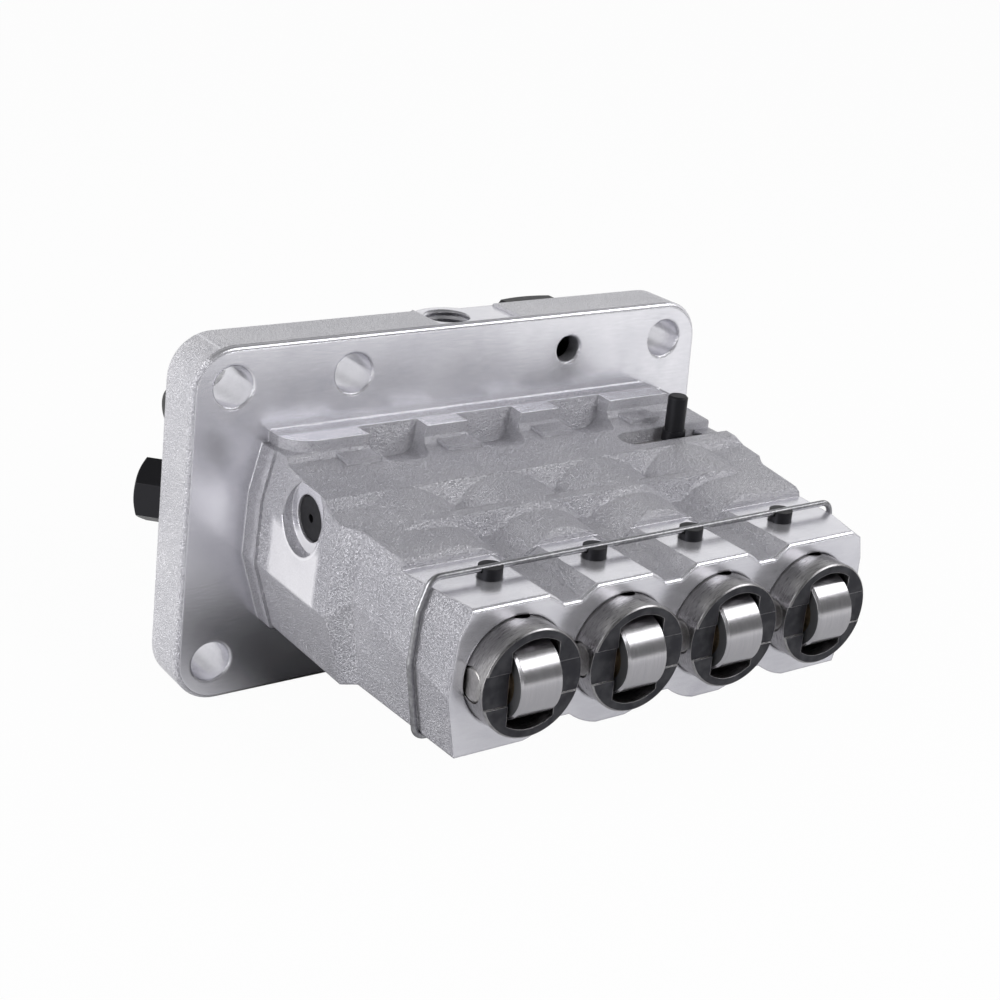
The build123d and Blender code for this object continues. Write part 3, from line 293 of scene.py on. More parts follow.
end_edge = near_end * cast.nz.step(0.4, 0.6) * cast.ny.step(-0.4, -0.6)
near_front = cast.y.step(-0.1, 0.0) * cast.y.step(FLANGE_BEVEL, FLANGE_BEVEL - 0.3)
top_bevel = near_front * (cast.nz * cast.ny).step(-0.3, -0.45)
flat_cuts = (flange_front, flange_back, head_face, end_face, facets, shelf, spot_face, rack_spot)
machined = any_of(*flat_cuts, end_edge, top_bevel)
print("flat cuts", len(flat_cuts), "and two bevels")

# %% The smooth upper panel on each side of the body
# Each pair says where the panel has ended, and where it is whole.
PANEL_TOP = (14.5, 11.5)
PANEL_FOOT = (-3.0, -1.6)
PANEL_FRONT = (-30.0, -28.0)
PANEL_REAR = (-6.5, -9.5)
PANEL_SHARE = 0.8
ragged = cast.noise(0.12, detail=4.0, roughness=0.6)
in_height = (cast.z + ragged * 5.0).step(*PANEL_TOP) * cast.z.step(*PANEL_FOOT)
in_length = (cast.y + ragged * 2.0).step(*PANEL_FRONT) * (cast.y + ragged * 4.0).step(*PANEL_REAR)
side_panel = cast.nx.size().step(0.90, 0.96) * in_height * in_length
print("side panel, whole from y", PANEL_FRONT[1], "to", PANEL_REAR[1])

# %% Bores: every wall near the axis of a bore, inside the casting
BORE_XS = (-37.5, -12.5, 12.5, 37.5)
UPPER_HOLES = [(x, 35.8) for x in (-61.3, -32.95, 24.15, 52.5)]
LOWER_HOLES = [(x, -26.5) for x in (-64.7, 55.9)]
INLET_AXIS = (-4.7, 8.4)
INLET_FOOT = 30.0
holes = UPPER_HOLES + LOWER_HOLES
along_y = cast.ny.size().step(0.9, 0.7)
hole_rings = [cast.ring(cast.x, cast.z, hole, inner=4.9, outer=5.2) for hole in holes]
hole_walls = any_of(*hole_rings) * cast.y.step(-0.1, 0.05) * along_y
bore_rings = [cast.ring(cast.x, cast.z, (x, 0.0), inner=11.9, outer=12.4) for x in BORE_XS]
bore_walls = any_of(*bore_rings) * along_y
inlet_ring = cast.ring(cast.x, cast.y, INLET_AXIS, inner=5.4, outer=5.6)
inlet_sides = inlet_ring * cast.nz.size().step(0.9, 0.7)
inlet_wall = inlet_sides * cast.z.step(INLET_FOOT, INLET_FOOT + 1.0)
smooth = any_of(machined, side_panel * PANEL_SHARE, hole_walls, bore_walls, inlet_wall)
print("walls of", len(BORE_XS), "bores,", len(holes), "holes and the inlet")

# %% [markdown]
# ## Skin and cuts of the casting
#
# Sand leaves a coarse grain, pale on its tops and dark between them, and the
# mill leaves fine lines that run across the body. A photograph could be wrapped
# round the model, but it would carry its own light and end at the edges of the
# picture. Noise made of position has neither fault, so every pattern here is a
# noise that is measured in millimetres. One speck pattern drives both the
# colour and the gloss of the skin, as on the real metal.

# %% Patterns of the casting
grain = cast.noise(2.8, detail=3.0, roughness=0.65)
coarse = cast.noise(0.45, detail=2.0)
clouds = cast.noise(0.06, detail=3.0)
marks_at = cast.join(cast.x * 0.25, cast.y * 2.0, cast.z * 2.0)
marks = cast.noise(1.1, detail=4.0, roughness=0.65, vector=marks_at)
smudge = cast.noise(0.09, detail=4.0, roughness=0.6)
speck = grain.step(0.38, 0.64)
print("casting, nodes so far:", len(cast.tree.nodes))

# %% Colour of the casting
SKIN_DARK, SKIN_PALE = (0.31, 0.305, 0.335), (0.66, 0.655, 0.695)
# Painted light: the casting behind the flange's front gets a paler copy of the skin's colours.
LIT_REAR_DARK, LIT_REAR_PALE = (0.50, 0.495, 0.53), (0.80, 0.795, 0.83)
CUT_DULL, CUT_BRIGHT = (0.80, 0.795, 0.84), (0.87, 0.865, 0.905)
CUT_SMUDGE = (0.60, 0.595, 0.65)
# Painted light: the milled side panel is paler than the other cuts.
PANEL_PAINTED_LIGHT = (0.95, 0.94, 0.97)
# Painted shade: the colour that darkens a band of the body next to the flange.
COLLAR_PAINTED_SHADE = (0.22, 0.215, 0.24)
CLOUD_SHADE = (0.90, 0.90, 0.91)
WHITE = (1.0, 1.0, 1.0)
skin_colour = cast.mix(speck, SKIN_DARK, SKIN_PALE)
painted_light_rear_colour = cast.mix(speck, LIT_REAR_DARK, LIT_REAR_PALE)
# Painted light: behind the flange's front the skin takes its paler copy.
cast_colour = cast.mix(cast.y.step(0.2, 0.8), skin_colour, painted_light_rear_colour)
cut_colour = cast.mix(marks.step(0.3, 0.75), CUT_DULL, CUT_BRIGHT)
cut_colour = cast.mix(smudge.step(0.55, 0.75) * 0.4, cut_colour, CUT_SMUDGE)
# Painted light: the side panel is given its paler colour here.
cut_colour = cast.mix(side_panel, cut_colour, PANEL_PAINTED_LIGHT)
# Painted shade: a band about four millimetres wide on the body, next to the flange, is darkened.
painted_shade_at_collar = cast.y.step(-4.2, -3.4) * cast.y.step(-0.1, -0.3)
colour = cast.mix(smooth, cast_colour, cut_colour)
colour = cast.mix(painted_shade_at_collar * 0.4, colour, COLLAR_PAINTED_SHADE)
shade = cast.mix(clouds.step(0.35, 0.7), CLOUD_SHADE, WHITE)
cast.set("Base Color", cast.mix(1.0, colour, shade, blend_type="MULTIPLY"))
print("skin", SKIN_DARK, "to", SKIN_PALE, "and cuts", CUT_DULL, "to", CUT_BRIGHT)

# %% Gloss of the casting
SKIN_METALLIC = 0.45
CUT_METALLIC = 0.82
PANEL_METALLIC = 0.25
metallic = cast.blend(smooth, SKIN_METALLIC, CUT_METALLIC)
skin_roughness = 0.34 - speck * 0.10
cut_roughness = 0.16 + marks * 0.08 + smudge * 0.08
cast.set("Metallic", cast.blend(side_panel, metallic, PANEL_METALLIC))
cast.set("Roughness", cast.blend(smooth, skin_roughness, cut_roughness))
print("metallic", SKIN_METALLIC, "on the skin and", CUT_METALLIC, "on cuts")


# %% Relief of the casting: grain, tool marks, bevels that shine and the inlet's thread
def crown(middle, half_width, mask):
    """A low arch across a bevel, so that it catches one thin line of light."""
    across = (cast.y - middle) / half_width
    return (1.0 - across * across) * mask


THREAD_PITCH = 1.5
turn_angle = (cast.y - INLET_AXIS[1]).maths("ARCTAN2", cast.x - INLET_AXIS[0])
thread_phase = cast.z / THREAD_PITCH + turn_angle / (2 * math.pi)
thread = (thread_phase.maths("FRACT") - 0.5).size() * 2.0
skin = cast.blend(smooth, grain * 0.8 + coarse * 0.35, 0.6 + marks * 0.03)
flange_crown = crown(FLANGE_BEVEL / 2, FLANGE_BEVEL / 2, top_bevel)
end_crown = crown(BODY_END + END_BEVEL / 2, END_BEVEL / 2, end_edge)
relief = cast.bump(skin, strength=1.0, depth=0.42, normal=cast.soft_edges(0.7))
relief = cast.bump(flange_crown, strength=1.0, depth=0.28, normal=relief)
relief = cast.bump(end_crown, strength=1.0, depth=0.10, normal=relief)
relief = cast.bump(thread * inlet_wall, strength=1.0, depth=0.9, normal=relief)
cast.set("Normal", relief)
dress(cast, "pump_housing")

# %% [markdown]
# ## Steel parts
#
# The tappets are hardened and ground: their outside shines with fine lines
# round it, while the ring-shaped ends keep the dark grey of the heat treatment.
# The rollers are polished. Small fittings are black oxide, which shows bare
# steel where an edge has rubbed. The lines could be cut into the mesh, but they
# are only a few thousandths of a millimetre deep. So a noise that is stretched
# along them moves the normal and nothing else.

# %% Tappet bodies: bright ground outside, dark ends
GROUND_DULL, GROUND_BRIGHT = (0.24, 0.235, 0.24), (0.50, 0.49, 0.50)
STAIN = (0.30, 0.285, 0.28)
HARDENED_DARK, HARDENED_PALE = (0.050, 0.050, 0.057), (0.085, 0.085, 0.092)
# Wear and painted highlight: pale steel along the rims of the dark ends.
RUBBED_EDGE_AND_HIGHLIGHT = (0.52, 0.51, 0.52)
tappet = Finish("ground_tappet_finish", metallic=1.0)
end_mask = facing(tappet.ny, sign=-1.0)
lines_at = tappet.join(tappet.x * 0.6, tappet.y * 7.0, tappet.z * 0.6)
lines = tappet.noise(1.0, detail=3.0, roughness=0.7, vector=lines_at)
stains = tappet.noise(0.35, detail=3.0)
tappet_edges = tappet.soft_edges(0.22)
bright = tappet.mix(lines.step(0.3, 0.75), GROUND_DULL, GROUND_BRIGHT)
bright = tappet.mix(stains.step(0.55, 0.8) * 0.4, bright, STAIN)
dark = tappet.mix(stains.step(0.35, 0.7), HARDENED_DARK, HARDENED_PALE)
tappet_colour = tappet.mix(end_mask, bright, dark)
# Wear and painted highlight: the edges of the dark ends are given a pale steel colour.
tappet_colour = tappet.mix(tappet.edge_wear_and_highlight(tappet_edges) * end_mask, tappet_colour, RUBBED_EDGE_AND_HIGHLIGHT)
tappet.set("Base Color", tappet_colour)
tappet.set("Roughness", tappet.blend(end_mask, 0.22 + lines * 0.14, 0.50))
tappet.set("Normal", tappet.bump(lines, strength=0.25, depth=0.02, normal=tappet_edges))
dress(tappet, *each("tappet_body"))

# %% Rollers: polished, with faint circles from grinding and duller side faces
ROLLER_DULL, ROLLER_BRIGHT = (0.46, 0.455, 0.475), (0.53, 0.52, 0.54)
ROLLER_SIDE = (0.26, 0.26, 0.27)
roller = Finish("polished_roller_finish", metallic=1.0)
circles_at = roller.join(roller.x * 6.0, roller.y * 0.2, roller.z * 0.2)
circles = roller.noise(1.0, detail=3.0, roughness=0.7, vector=circles_at)
side_mask = roller.nx.size().step(0.9, 0.97)
roller_edges = roller.soft_edges(0.2)
polished = roller.mix(circles.step(0.3, 0.7), ROLLER_DULL, ROLLER_BRIGHT)
roller.set("Base Color", roller.mix(side_mask, polished, ROLLER_SIDE))
roller.set("Roughness", roller.blend(side_mask, 0.20 + circles * 0.05, 0.45))
roller.set("Normal", roller.bump(circles, strength=0.2, depth=0.01, normal=roller_edges))
dress(roller, *each("roller"))

# %% Roller pins, plungers, sleeves, valves and the rack: plain ground steel
STEEL_DULL, STEEL_BRIGHT = (0.42, 0.41, 0.40), (0.56, 0.55, 0.54)
ground = Finish("ground_steel_finish", metallic=1.0)
ground_lines = ground.noise(1.6, detail=4.0, roughness=0.7)
ground_edges = ground.soft_edges(0.25)
ground.set("Base Color", ground.mix(ground_lines.step(0.35, 0.7), STEEL_DULL, STEEL_BRIGHT))
ground.set("Roughness", 0.26 + ground_lines * 0.16)
ground.set("Normal", ground.bump(ground_lines, strength=0.3, depth=0.02, normal=ground_edges))
dress(ground, *each("roller_pin"), *each("plunger"), *each("control_sleeve"), "control_rack")
dress(ground, *each("delivery_valve"), "barrels", "delivery_valve_seats")

# %% Black oxide fittings, rubbed here and there
OXIDE_BLACK = (0.018, 0.018, 0.021)
RUBBED_STEEL = (0.16, 0.155, 0.15)
black = Finish("black_oxide_finish", metallic=0.75)
black_grain = black.noise(1.2, detail=4.0, roughness=0.6)
black_edges = black.soft_edges(0.3)
rubbed = black.noise(0.4, detail=5.0, roughness=0.7).step(0.68, 0.80)
black.set("Base Color", black.mix(rubbed * 0.5, OXIDE_BLACK, RUBBED_STEEL))
black.set("Roughness", 0.36 + black_grain * 0.22)
black.set("Normal", black.bump(black_grain, strength=0.35, depth=0.03, normal=black_edges))
dress(black, "guide_pins", "rack_pin", "rack_plug_left", "rack_plug_right", "rear_hex_plug")
dress(black, "vent_screw", "gallery_plug", "lock_screws")

# %% Spring wire and the wire clip
WIRE_DARK, WIRE_PALE = (0.26, 0.26, 0.275), (0.40, 0.40, 0.415)
wire = Finish("spring_wire_finish", metallic=1.0)
drawn = wire.noise(1.4, detail=3.0)
wire.set("Base Color", wire.mix(drawn.step(0.35, 0.7), WIRE_DARK, WIRE_PALE))
wire.set("Roughness", 0.30 + drawn * 0.15)
wire.set("Normal", wire.bump(drawn, strength=0.25, depth=0.02))
dress(wire, "wire_clip", *each("plunger_spring"), *each("delivery_spring"))

# %% Phosphated spring seats
PHOSPHATE_DARK, PHOSPHATE_PALE = (0.07, 0.07, 0.072), (0.12, 0.12, 0.12)
seat = Finish("phosphated_seat_finish", metallic=0.6)
seat_grain = seat.noise(3.0, detail=3.0)
seat.set("Base Color", seat.mix(seat_grain.step(0.3, 0.7), PHOSPHATE_DARK, PHOSPHATE_PALE))
seat.set("Roughness", 0.55 + seat_grain * 0.2)
seat.set("Normal", seat.bump(seat_grain, strength=0.3, depth=0.03))
dress(seat, *each("lower_spring_seat"), "upper_spring_seats")

# %% Zinc plated holders and lock plates
ZINC_BLUE, ZINC_YELLOW = (0.52, 0.53, 0.55), (0.66, 0.65, 0.62)
zinc = Finish("zinc_plate_finish", metallic=1.0)
zinc_clouds = zinc.noise(0.25, detail=4.0, roughness=0.6)
zinc_grain = zinc.noise(2.2, detail=3.0)
zinc_edges = zinc.soft_edges(0.3)
zinc.set("Base Color", zinc.mix(zinc_clouds.step(0.35, 0.65), ZINC_BLUE, ZINC_YELLOW))
zinc.set("Roughness", 0.28 + zinc_grain * 0.18)
zinc.set("Normal", zinc.bump(zinc_grain, strength=0.25, depth=0.02, normal=zinc_edges))
dress(zinc, "delivery_valve_holders", "lock_plates")

# %% [markdown]
# ## Threads on the outlets
#
# The CAD model keeps each outlet as a plain cylinder of the thread's outer size.
# A pipe nut needs a real thread there, and a thread is a shape that follows a
# rule: one profile swept along a helix, the same on all four outlets. It could
# be bump only, but an outlet's outline against the white shows each ridge. So
# the plain outlets are thinned to the thread's root on a copy of the holders,
# and a node tree sweeps the ridge and sets it on a row of four points. A mesh is
# in metres, so from here on the sizes are too.

# %% A copy of a CAD node that can be reshaped
# In metres and in radians.
WELD_DISTANCE = 1e-6
SHARP_ANGLE = 0.5


def merged_copy(node_name, name, reshape=None):
    """A copy of a CAD node with its loose triangles joined, and reshaped if asked."""
    mesh = nodes[node_name].data.copy()
    mesh.name = name
    shape = bmesh.new()
    shape.from_mesh(mesh)
    bmesh.ops.remove_doubles(shape, verts=shape.verts, dist=WELD_DISTANCE)
    if reshape:
        reshape(shape)
    for edge in shape.edges:
        edge.smooth = len(edge.link_faces) == 2 and edge.calc_face_angle(0.0) < SHARP_ANGLE
    for face in shape.faces:
        face.smooth = True
    shape.to_mesh(mesh)
    shape.free()
    copy = bpy.data.objects.new(name, mesh)
    scene.collection.objects.link(copy)
    return copy


# %% Holders with outlets thinned to the root of the thread
OUTLET_REAR = 0.0590
OUTLET_RADIUS = 0.0060
RIDGE_PITCH = 0.0015
ROOT_RADIUS = OUTLET_RADIUS - RIDGE_PITCH / 2
ON_OUTLET = 1e-4
HOLDER_XS = [x / MM for x in BORE_XS]


def thin_outlets(shape):
    """Move the outlets' outer points in to the root of the thread."""
    for vertex in shape.verts:
        middle_x = min(HOLDER_XS, key=lambda x: abs(x - vertex.co.x))
        away = Vector((vertex.co.x - middle_x, 0.0, vertex.co.z))
        if vertex.co.y > OUTLET_REAR and abs(away.length - OUTLET_RADIUS) < ON_OUTLET:
            thinner = away * (ROOT_RADIUS / away.length)
            vertex.co = (middle_x + thinner.x, vertex.co.y, thinner.z)


holders = merged_copy("delivery_valve_holders", "threaded_holders", thin_outlets)
print("holder triangles", len(holders.data.polygons))

# %% The node tree that sweeps one ridge and repeats it along the row
THREAD_LENGTH = 0.0126
PLAIN_ROOT = 0.0007
STEPS_PER_TURN = 48
RIDGE_CORNERS = 4
THREAD_SIZES = {
    "Root Radius": ROOT_RADIUS,
    "Ridge Size": RIDGE_PITCH / 2,
    "Length": THREAD_LENGTH,
    "Turns": THREAD_LENGTH / RIDGE_PITCH,
    "First X": HOLDER_XS[0],
    "Rear Y": OUTLET_REAR + PLAIN_ROOT,
    "Row Pitch": HOLDER_XS[1] - HOLDER_XS[0],
}


def thread_tree():
    """Sweep a small diamond along a helix, and set the result on four points."""
    tree = bpy.data.node_groups.new("outlet_thread", "GeometryNodeTree")
    sockets = {}
    for name in THREAD_SIZES:
        sockets[name] = tree.interface.new_socket(
            name=name, in_out="INPUT", socket_type="NodeSocketFloat"
        )
    tree.interface.new_socket(name="Geometry", in_out="OUTPUT", socket_type="NodeSocketGeometry")
    size = tree.nodes.new("NodeGroupInput").outputs
    result = tree.nodes.new("NodeGroupOutput").inputs[0]

    def add(kind, **inputs):
        """One node with its inputs by name; hands back its first output."""
        node = tree.nodes.new(kind)
        for key, value in inputs.items():
            socket = node.inputs[key.replace("_", " ")]
            if isinstance(value, bpy.types.NodeSocket):
                tree.links.new(value, socket)
            else:
                socket.default_value = value
        return node.outputs[0]

    helix = add(
        "GeometryNodeCurveSpiral",
        Resolution=STEPS_PER_TURN,
        Rotations=size["Turns"],
        Start_Radius=size["Root Radius"],
        End_Radius=size["Root Radius"],
        Height=size["Length"],
    )
    diamond = add(
        "GeometryNodeCurvePrimitiveCircle", Resolution=RIDGE_CORNERS, Radius=size["Ridge Size"]
    )
    ridge = add("GeometryNodeCurveToMesh", Curve=helix, Profile_Curve=diamond, Fill_Caps=True)
    lying = add("GeometryNodeTransform", Geometry=ridge, Rotation=(-math.pi / 2, 0.0, 0.0))
    first = add("ShaderNodeCombineXYZ", X=size["First X"], Y=size["Rear Y"])
    stride = add("ShaderNodeCombineXYZ", X=size["Row Pitch"])
    row = add("GeometryNodeMeshLine", Count=len(HOLDER_XS), Start_Location=first, Offset=stride)
    copies = add("GeometryNodeInstanceOnPoints", Points=row, Instance=lying)
    real = add("GeometryNodeRealizeInstances", Geometry=copies)
    painted = add("GeometryNodeSetMaterial", Geometry=real, Material=zinc.material)
    tree.links.new(painted, result)
    return tree, sockets


thread_group, thread_sockets = thread_tree()
print("inputs of the thread's tree:", ", ".join(thread_sockets))


# %% The thread as one plain mesh, set on the holders
def made_by(tree, sockets, sizes, name):
    """Run a node tree with its sizes and keep the result as a plain mesh."""
    carrier = bpy.data.objects.new(name + "_maker", bpy.data.meshes.new(name + "_maker"))
    scene.collection.objects.link(carrier)
    modifier = carrier.modifiers.new("maker", "NODES")
    modifier.node_group = tree
    for key, value in sizes.items():
        modifier[sockets[key].identifier] = value
    bpy.context.view_layer.update()
    evaluated = carrier.evaluated_get(bpy.context.evaluated_depsgraph_get())
    mesh = bpy.data.meshes.new_from_object(evaluated)
    carrier.modifiers.remove(modifier)
    bpy.data.objects.remove(carrier)
    piece = bpy.data.objects.new(name, mesh)
    scene.collection.objects.link(piece)
    return piece


threads = made_by(thread_group, thread_sockets, THREAD_SIZES, "outlet_threads")
for piece in (holders, threads):
    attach(piece, "housing")
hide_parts("delivery_valve_holders")
print("thread triangles", 2 * len(threads.data.polygons))

# %% [markdown]
# ## Copies of the springs
#
# Each return spring stands between a fixed seat in the housing and a seat on its
# tappet, and each valve spring between its holder and its valve. When the joint
# moves, the real spring gets shorter. A rigid solid can't. Here each spring is
# replaced by a joined copy on the housing, and the share of its length that is
# left at the joint's limit is worked out from the joint's travel.

# %% Copies of the springs, and the share of length each joint's travel leaves
RETURN_SPRING_SEAT = -0.03704
VALVE_SPRING_SEAT = 0.05062
travels = {joint["name"]: joint["range_m"][1] for joint in frame["joints"] if "range_m" in joint}


def pressed_spring(node_name, joint_name, seat_y):
    """Replace a spring by a copy on the housing; give the share of length left at the limit."""
    spring = merged_copy(node_name, "pressed_" + node_name)
    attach(spring, "housing")
    free_end = min(vertex.co.y for vertex in spring.data.vertices)
    left = 1.0 - travels[joint_name] / (seat_y - free_end)
    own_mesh(spring)
    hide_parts(node_name)
    return round(left, 3)


for n in range(1, 5):
    return_share = pressed_spring(f"plunger_spring_{n}", f"tappet_{n}_lift", RETURN_SPRING_SEAT)
    valve_share = pressed_spring(f"delivery_spring_{n}", f"valve_{n}_lift", VALVE_SPRING_SEAT)
    print("line", n, "return spring keeps", return_share, "valve spring keeps", valve_share)

# %% [markdown]
# ## Bronze, copper, rubber and plastic
#
# The bushes in the rollers are turned bronze, the sealing washers and gaskets
# soft copper, the O-rings rubber and the round cap at the side a dull plastic.
# Little of them shows, so each gets one noise and no more. That noise shifts
# the colour and the roughness together, which is enough to keep a small piece
# from looking like a flat patch.

# %% Turned bronze and annealed copper
BRONZE_DARK, BRONZE_PALE = (0.24, 0.18, 0.12), (0.34, 0.26, 0.17)
COPPER_CLEAN, COPPER_TARNISHED = (0.70, 0.34, 0.20), (0.40, 0.19, 0.12)
bronze = Finish("turned_bronze_finish", metallic=1.0)
turned = bronze.noise(2.0, detail=3.0)
bronze.set("Base Color", bronze.mix(turned.step(0.3, 0.7), BRONZE_DARK, BRONZE_PALE))
bronze.set("Roughness", 0.30 + turned * 0.15)
dress(bronze, *each("roller_bush"))

copper = Finish("annealed_copper_finish", metallic=1.0)
tarnish = copper.noise(0.6, detail=4.0)
copper.set("Base Color", copper.mix(tarnish.step(0.4, 0.7), COPPER_CLEAN, COPPER_TARNISHED))
copper.set("Roughness", 0.34 + tarnish * 0.2)
dress(copper, "sealing_washers", "valve_seat_gaskets")

# %% Rubber rings and the plastic cap
RUBBER_DARK, RUBBER_PALE = (0.010, 0.010, 0.010), (0.020, 0.020, 0.020)
PLASTIC_DARK, PLASTIC_PALE = (0.014, 0.014, 0.015), (0.026, 0.026, 0.027)
rubber = Finish("o_ring_finish")
rubber_grain = rubber.noise(3.0, detail=2.0)
rubber.set("Base Color", rubber.mix(rubber_grain, RUBBER_DARK, RUBBER_PALE))
rubber.set("Roughness", 0.55 + rubber_grain * 0.2)
dress(rubber, "holder_o_rings")

plastic = Finish("cap_plastic_finish")
plastic_grain = plastic.noise(3.5, detail=2.0)
plastic.set("Base Color", plastic.mix(plastic_grain, PLASTIC_DARK, PLASTIC_PALE))
plastic.set("Roughness", 0.42 + plastic_grain * 0.2)
plastic.set("Normal", plastic.bump(plastic_grain, strength=0.2, depth=0.02))
dress(plastic, "return_port_cap")

# %% [markdown]
# ## Stage and light
#
# Polished rollers show the whole room. In the photograph they mirror a long
# bright strip in front of them at about forty degrees, a dim room round it and a
# pale floor. A picture of a studio could be wrapped round the scene, but then
# nothing in it could be moved by itself. So the world is white to the camera and
# behind the pump, and dim in front of it. The strip is a lamp, and a second
# large lamp on the left lights the body's side. A third lamp, which mirrors
# don't show, lifts the slopes that look forward. The light that falls on the
# object stays at a plain level.

# %% World: white to the camera and behind the pump, dim in front of it
AMBIENT = 0.28
DIM_FRONT = 0.22
DARK_ABOVE = 0.06
BRIGHT_BACK = 0.92
DULL_BACK = 0.35
# A ray's direction runs from -1 to 1 along each axis. Each pair says where the
# mirrored room starts to change, and where it has changed.
FRONT_CEILING = (0.60, 0.80)
BACK_CEILING = (0.45, 0.75)
FRONT_TO_BACK = (-0.35, 0.25)
RAY_KINDS = ("Is Camera Ray", "Is Glossy Ray", "Is Transmission Ray")
world = bpy.data.worlds.new("studio_world")
world.use_nodes = True
scene.world = world
sky = Graph(world.node_tree)
to_camera, in_gloss, through_glass = sky.outputs_of("ShaderNodeLightPath", *RAY_KINDS)
way_y, way_z = sky.split(sky.node("ShaderNodeTexCoord", output="Generated"))[1:]
in_front = sky.blend(way_z.step(*FRONT_CEILING), DIM_FRONT, DARK_ABOVE)
behind = sky.blend(way_z.step(*BACK_CEILING), BRIGHT_BACK, DULL_BACK)
mirrored = sky.blend(way_y.step(*FRONT_TO_BACK), in_front, behind)
level = sky.blend(in_gloss, AMBIENT, mirrored)
level = sky.blend(to_camera.most(through_glass), level, 1.0)
backdrop = world.node_tree.nodes["Background"]
sky.plug(backdrop.inputs["Color"], WHITE)
sky.plug(backdrop.inputs["Strength"], level)
print("world:", AMBIENT, "on the object, 1 to the camera")

# %% Floor: a white sheet that lies under the pump
FLOOR_Z = -0.0362
REACH = 3.0
corners_xy = ((-REACH, -REACH), (REACH, -REACH), (REACH, REACH), (-REACH, REACH))
floor_mesh = bpy.data.meshes.new("floor")
floor_mesh.from_pydata([(x, y, FLOOR_Z) for x, y in corners_xy], [], [(0, 1, 2, 3)])
floor = bpy.data.objects.new("floor", floor_mesh)
scene.collection.objects.link(floor)
print("floor at", FLOOR_Z, "reaches", REACH)

# %% Floor's look: white to the camera, and a painted shade right under the pump for all other rays
WHITE_SHARE = 0.97
# The squares are of distances: mirrors see a grey floor within 0.12 m of the
# place, and a white one from 0.22 m on.
SHADE_PLACE = (0.0, -0.17)
SHADE_SQUARES = (0.0144, 0.05)
# Each half width says where the painted shade under the pump has ended, or is whole.
PUMP_MIDDLE = (0.005, -0.012)
PUMP_HALF_X = (0.080, 0.050)
PUMP_HALF_Y = (0.055, 0.020)
PAPER_PALE = (0.62, 0.62, 0.63)
# Painted shade: the near black that the floor shows under the pump to every ray but the camera's.
PAPER_PAINTED_SHADE = (0.015, 0.015, 0.018)
floor_look = bpy.data.materials.new("floor_white")
floor_look.use_nodes = True
sheet = Graph(floor_look.node_tree)
sheet.tree.nodes.remove(sheet.tree.nodes["Principled BSDF"])
to_camera, in_gloss, through_glass = sheet.outputs_of("ShaderNodeLightPath", *RAY_KINDS)
floor_x, floor_y = sheet.split(sheet.node("ShaderNodeTexCoord", output="Object"))[:2]
from_x = floor_x - SHADE_PLACE[0]
from_y = floor_y - SHADE_PLACE[1]
far_out = (from_x * from_x + from_y * from_y).step(*SHADE_SQUARES)
painted_shade_x = (floor_x - PUMP_MIDDLE[0]).size().step(*PUMP_HALF_X)
painted_shade_y = (floor_y - PUMP_MIDDLE[1]).size().step(*PUMP_HALF_Y)
painted_shade_under_pump = painted_shade_x * painted_shade_y
white = to_camera.most(through_glass)
# Painted shade: under the pump, mirrors lose the floor's white, and every ray but the camera's
# and glass's sees it near black.
share = white.most(in_gloss * far_out * (1.0 - painted_shade_under_pump)) * WHITE_SHARE
paper_with_painted_shade = sheet.mix(painted_shade_under_pump * (1.0 - white), PAPER_PALE, PAPER_PAINTED_SHADE)
matte = sheet.node("ShaderNodeBsdfDiffuse", inputs={"Color": paper_with_painted_shade})
glow = sheet.node("ShaderNodeEmission")
both = sheet.node("ShaderNodeMixShader", inputs={0: share, 1: matte, 2: glow})
sheet.plug(sheet.tree.nodes["Material Output"].inputs["Surface"], both)
floor_mesh.materials.append(floor_look)
print("floor shows", WHITE_SHARE, "of its white to the camera")


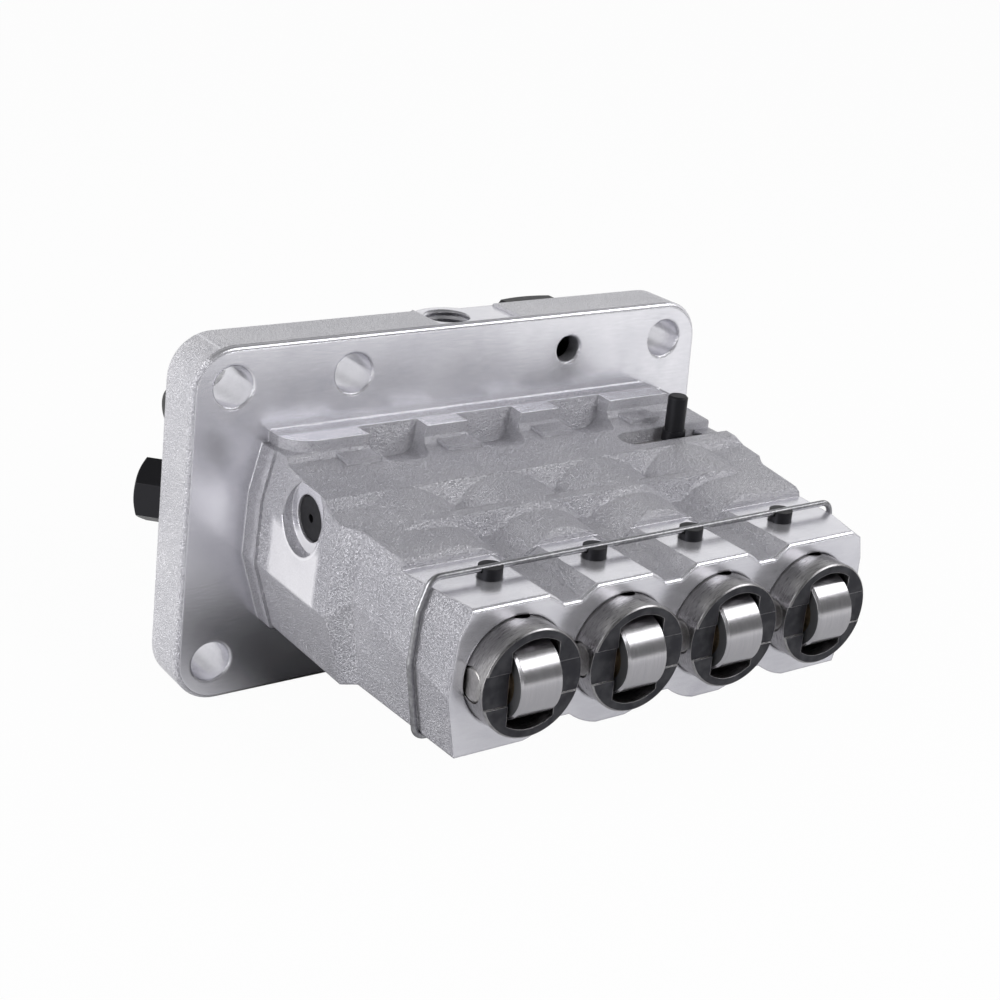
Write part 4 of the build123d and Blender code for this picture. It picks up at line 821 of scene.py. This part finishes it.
# %% Lamps: a long strip on the right, a large one on the left, and a small fill in front
def lamp(name, place, target, power, width, height):
    """A rectangular area lamp, looking at a target; watts and metres."""
    data = bpy.data.lights.new(name, "AREA")
    data.shape = "RECTANGLE"
    data.size = width
    data.size_y = height
    data.energy = power
    lamp_object = bpy.data.objects.new(name, data)
    scene.collection.objects.link(lamp_object)
    direction = Vector(target) - Vector(place)
    lamp_object.rotation_euler = direction.to_track_quat("-Z", "Y").to_euler()
    lamp_object.location = place
    print(name, power, "W,", width, "by", height, "m")
    return lamp_object


TAPPETS = (0.0, -0.04, 0.0)
BODY_SIDE = (0.0, -0.03, 0.0)
lamp("strip_lamp", (0.38, -0.38, 0.44), TAPPETS, power=1.8, width=0.68, height=0.18)
lamp("side_lamp", (-0.98, -0.06, 0.30), BODY_SIDE, power=7.4, width=0.7, height=0.7)
fill = lamp("front_fill_lamp", (0.20, -0.75, 0.50), TAPPETS, power=3.6, width=0.3, height=0.3)
fill.visible_glossy = False

# %% [markdown]
# ## Camera
#
# The picture should be seen from where the photograph was taken. That place
# could be found by eye, but points on the flange and the tappets fix it better:
# the camera was solved from them once, and its place, its three axes and its
# focal length are plain numbers here. The axes are the columns of the camera's
# matrix, and a camera in Blender looks along its own -Z.

# %% Camera at the photograph's place
CAMERA_PLACE = (-0.2192, -0.3132, 0.1518)
CAMERA_RIGHT = Vector((0.82507637, -0.55841701, 0.0861361))
CAMERA_DOWN = Vector((-0.13838115, -0.34751493, -0.92740716))
CAMERA_FORWARD = Vector((0.54781351, 0.75326212, -0.36400074))
FOCAL_PIXELS = 1775.3
FRAME_PIXELS = 1000.0
SENSOR_WIDTH = 36.0
NEAREST = 0.01
camera_data = bpy.data.cameras.new("photo_camera")
camera_data.sensor_width = SENSOR_WIDTH
camera_data.lens = FOCAL_PIXELS / FRAME_PIXELS * SENSOR_WIDTH
camera_data.clip_start = NEAREST
camera = bpy.data.objects.new("photo_camera", camera_data)
scene.collection.objects.link(camera)
turn = Matrix((CAMERA_RIGHT, -CAMERA_DOWN, -CAMERA_FORWARD)).transposed()
camera.matrix_world = Matrix.Translation(CAMERA_PLACE) @ turn.to_4x4()
scene.camera = camera
scene.view_settings.view_transform = "Standard"
print("lens", round(camera_data.lens, 2))
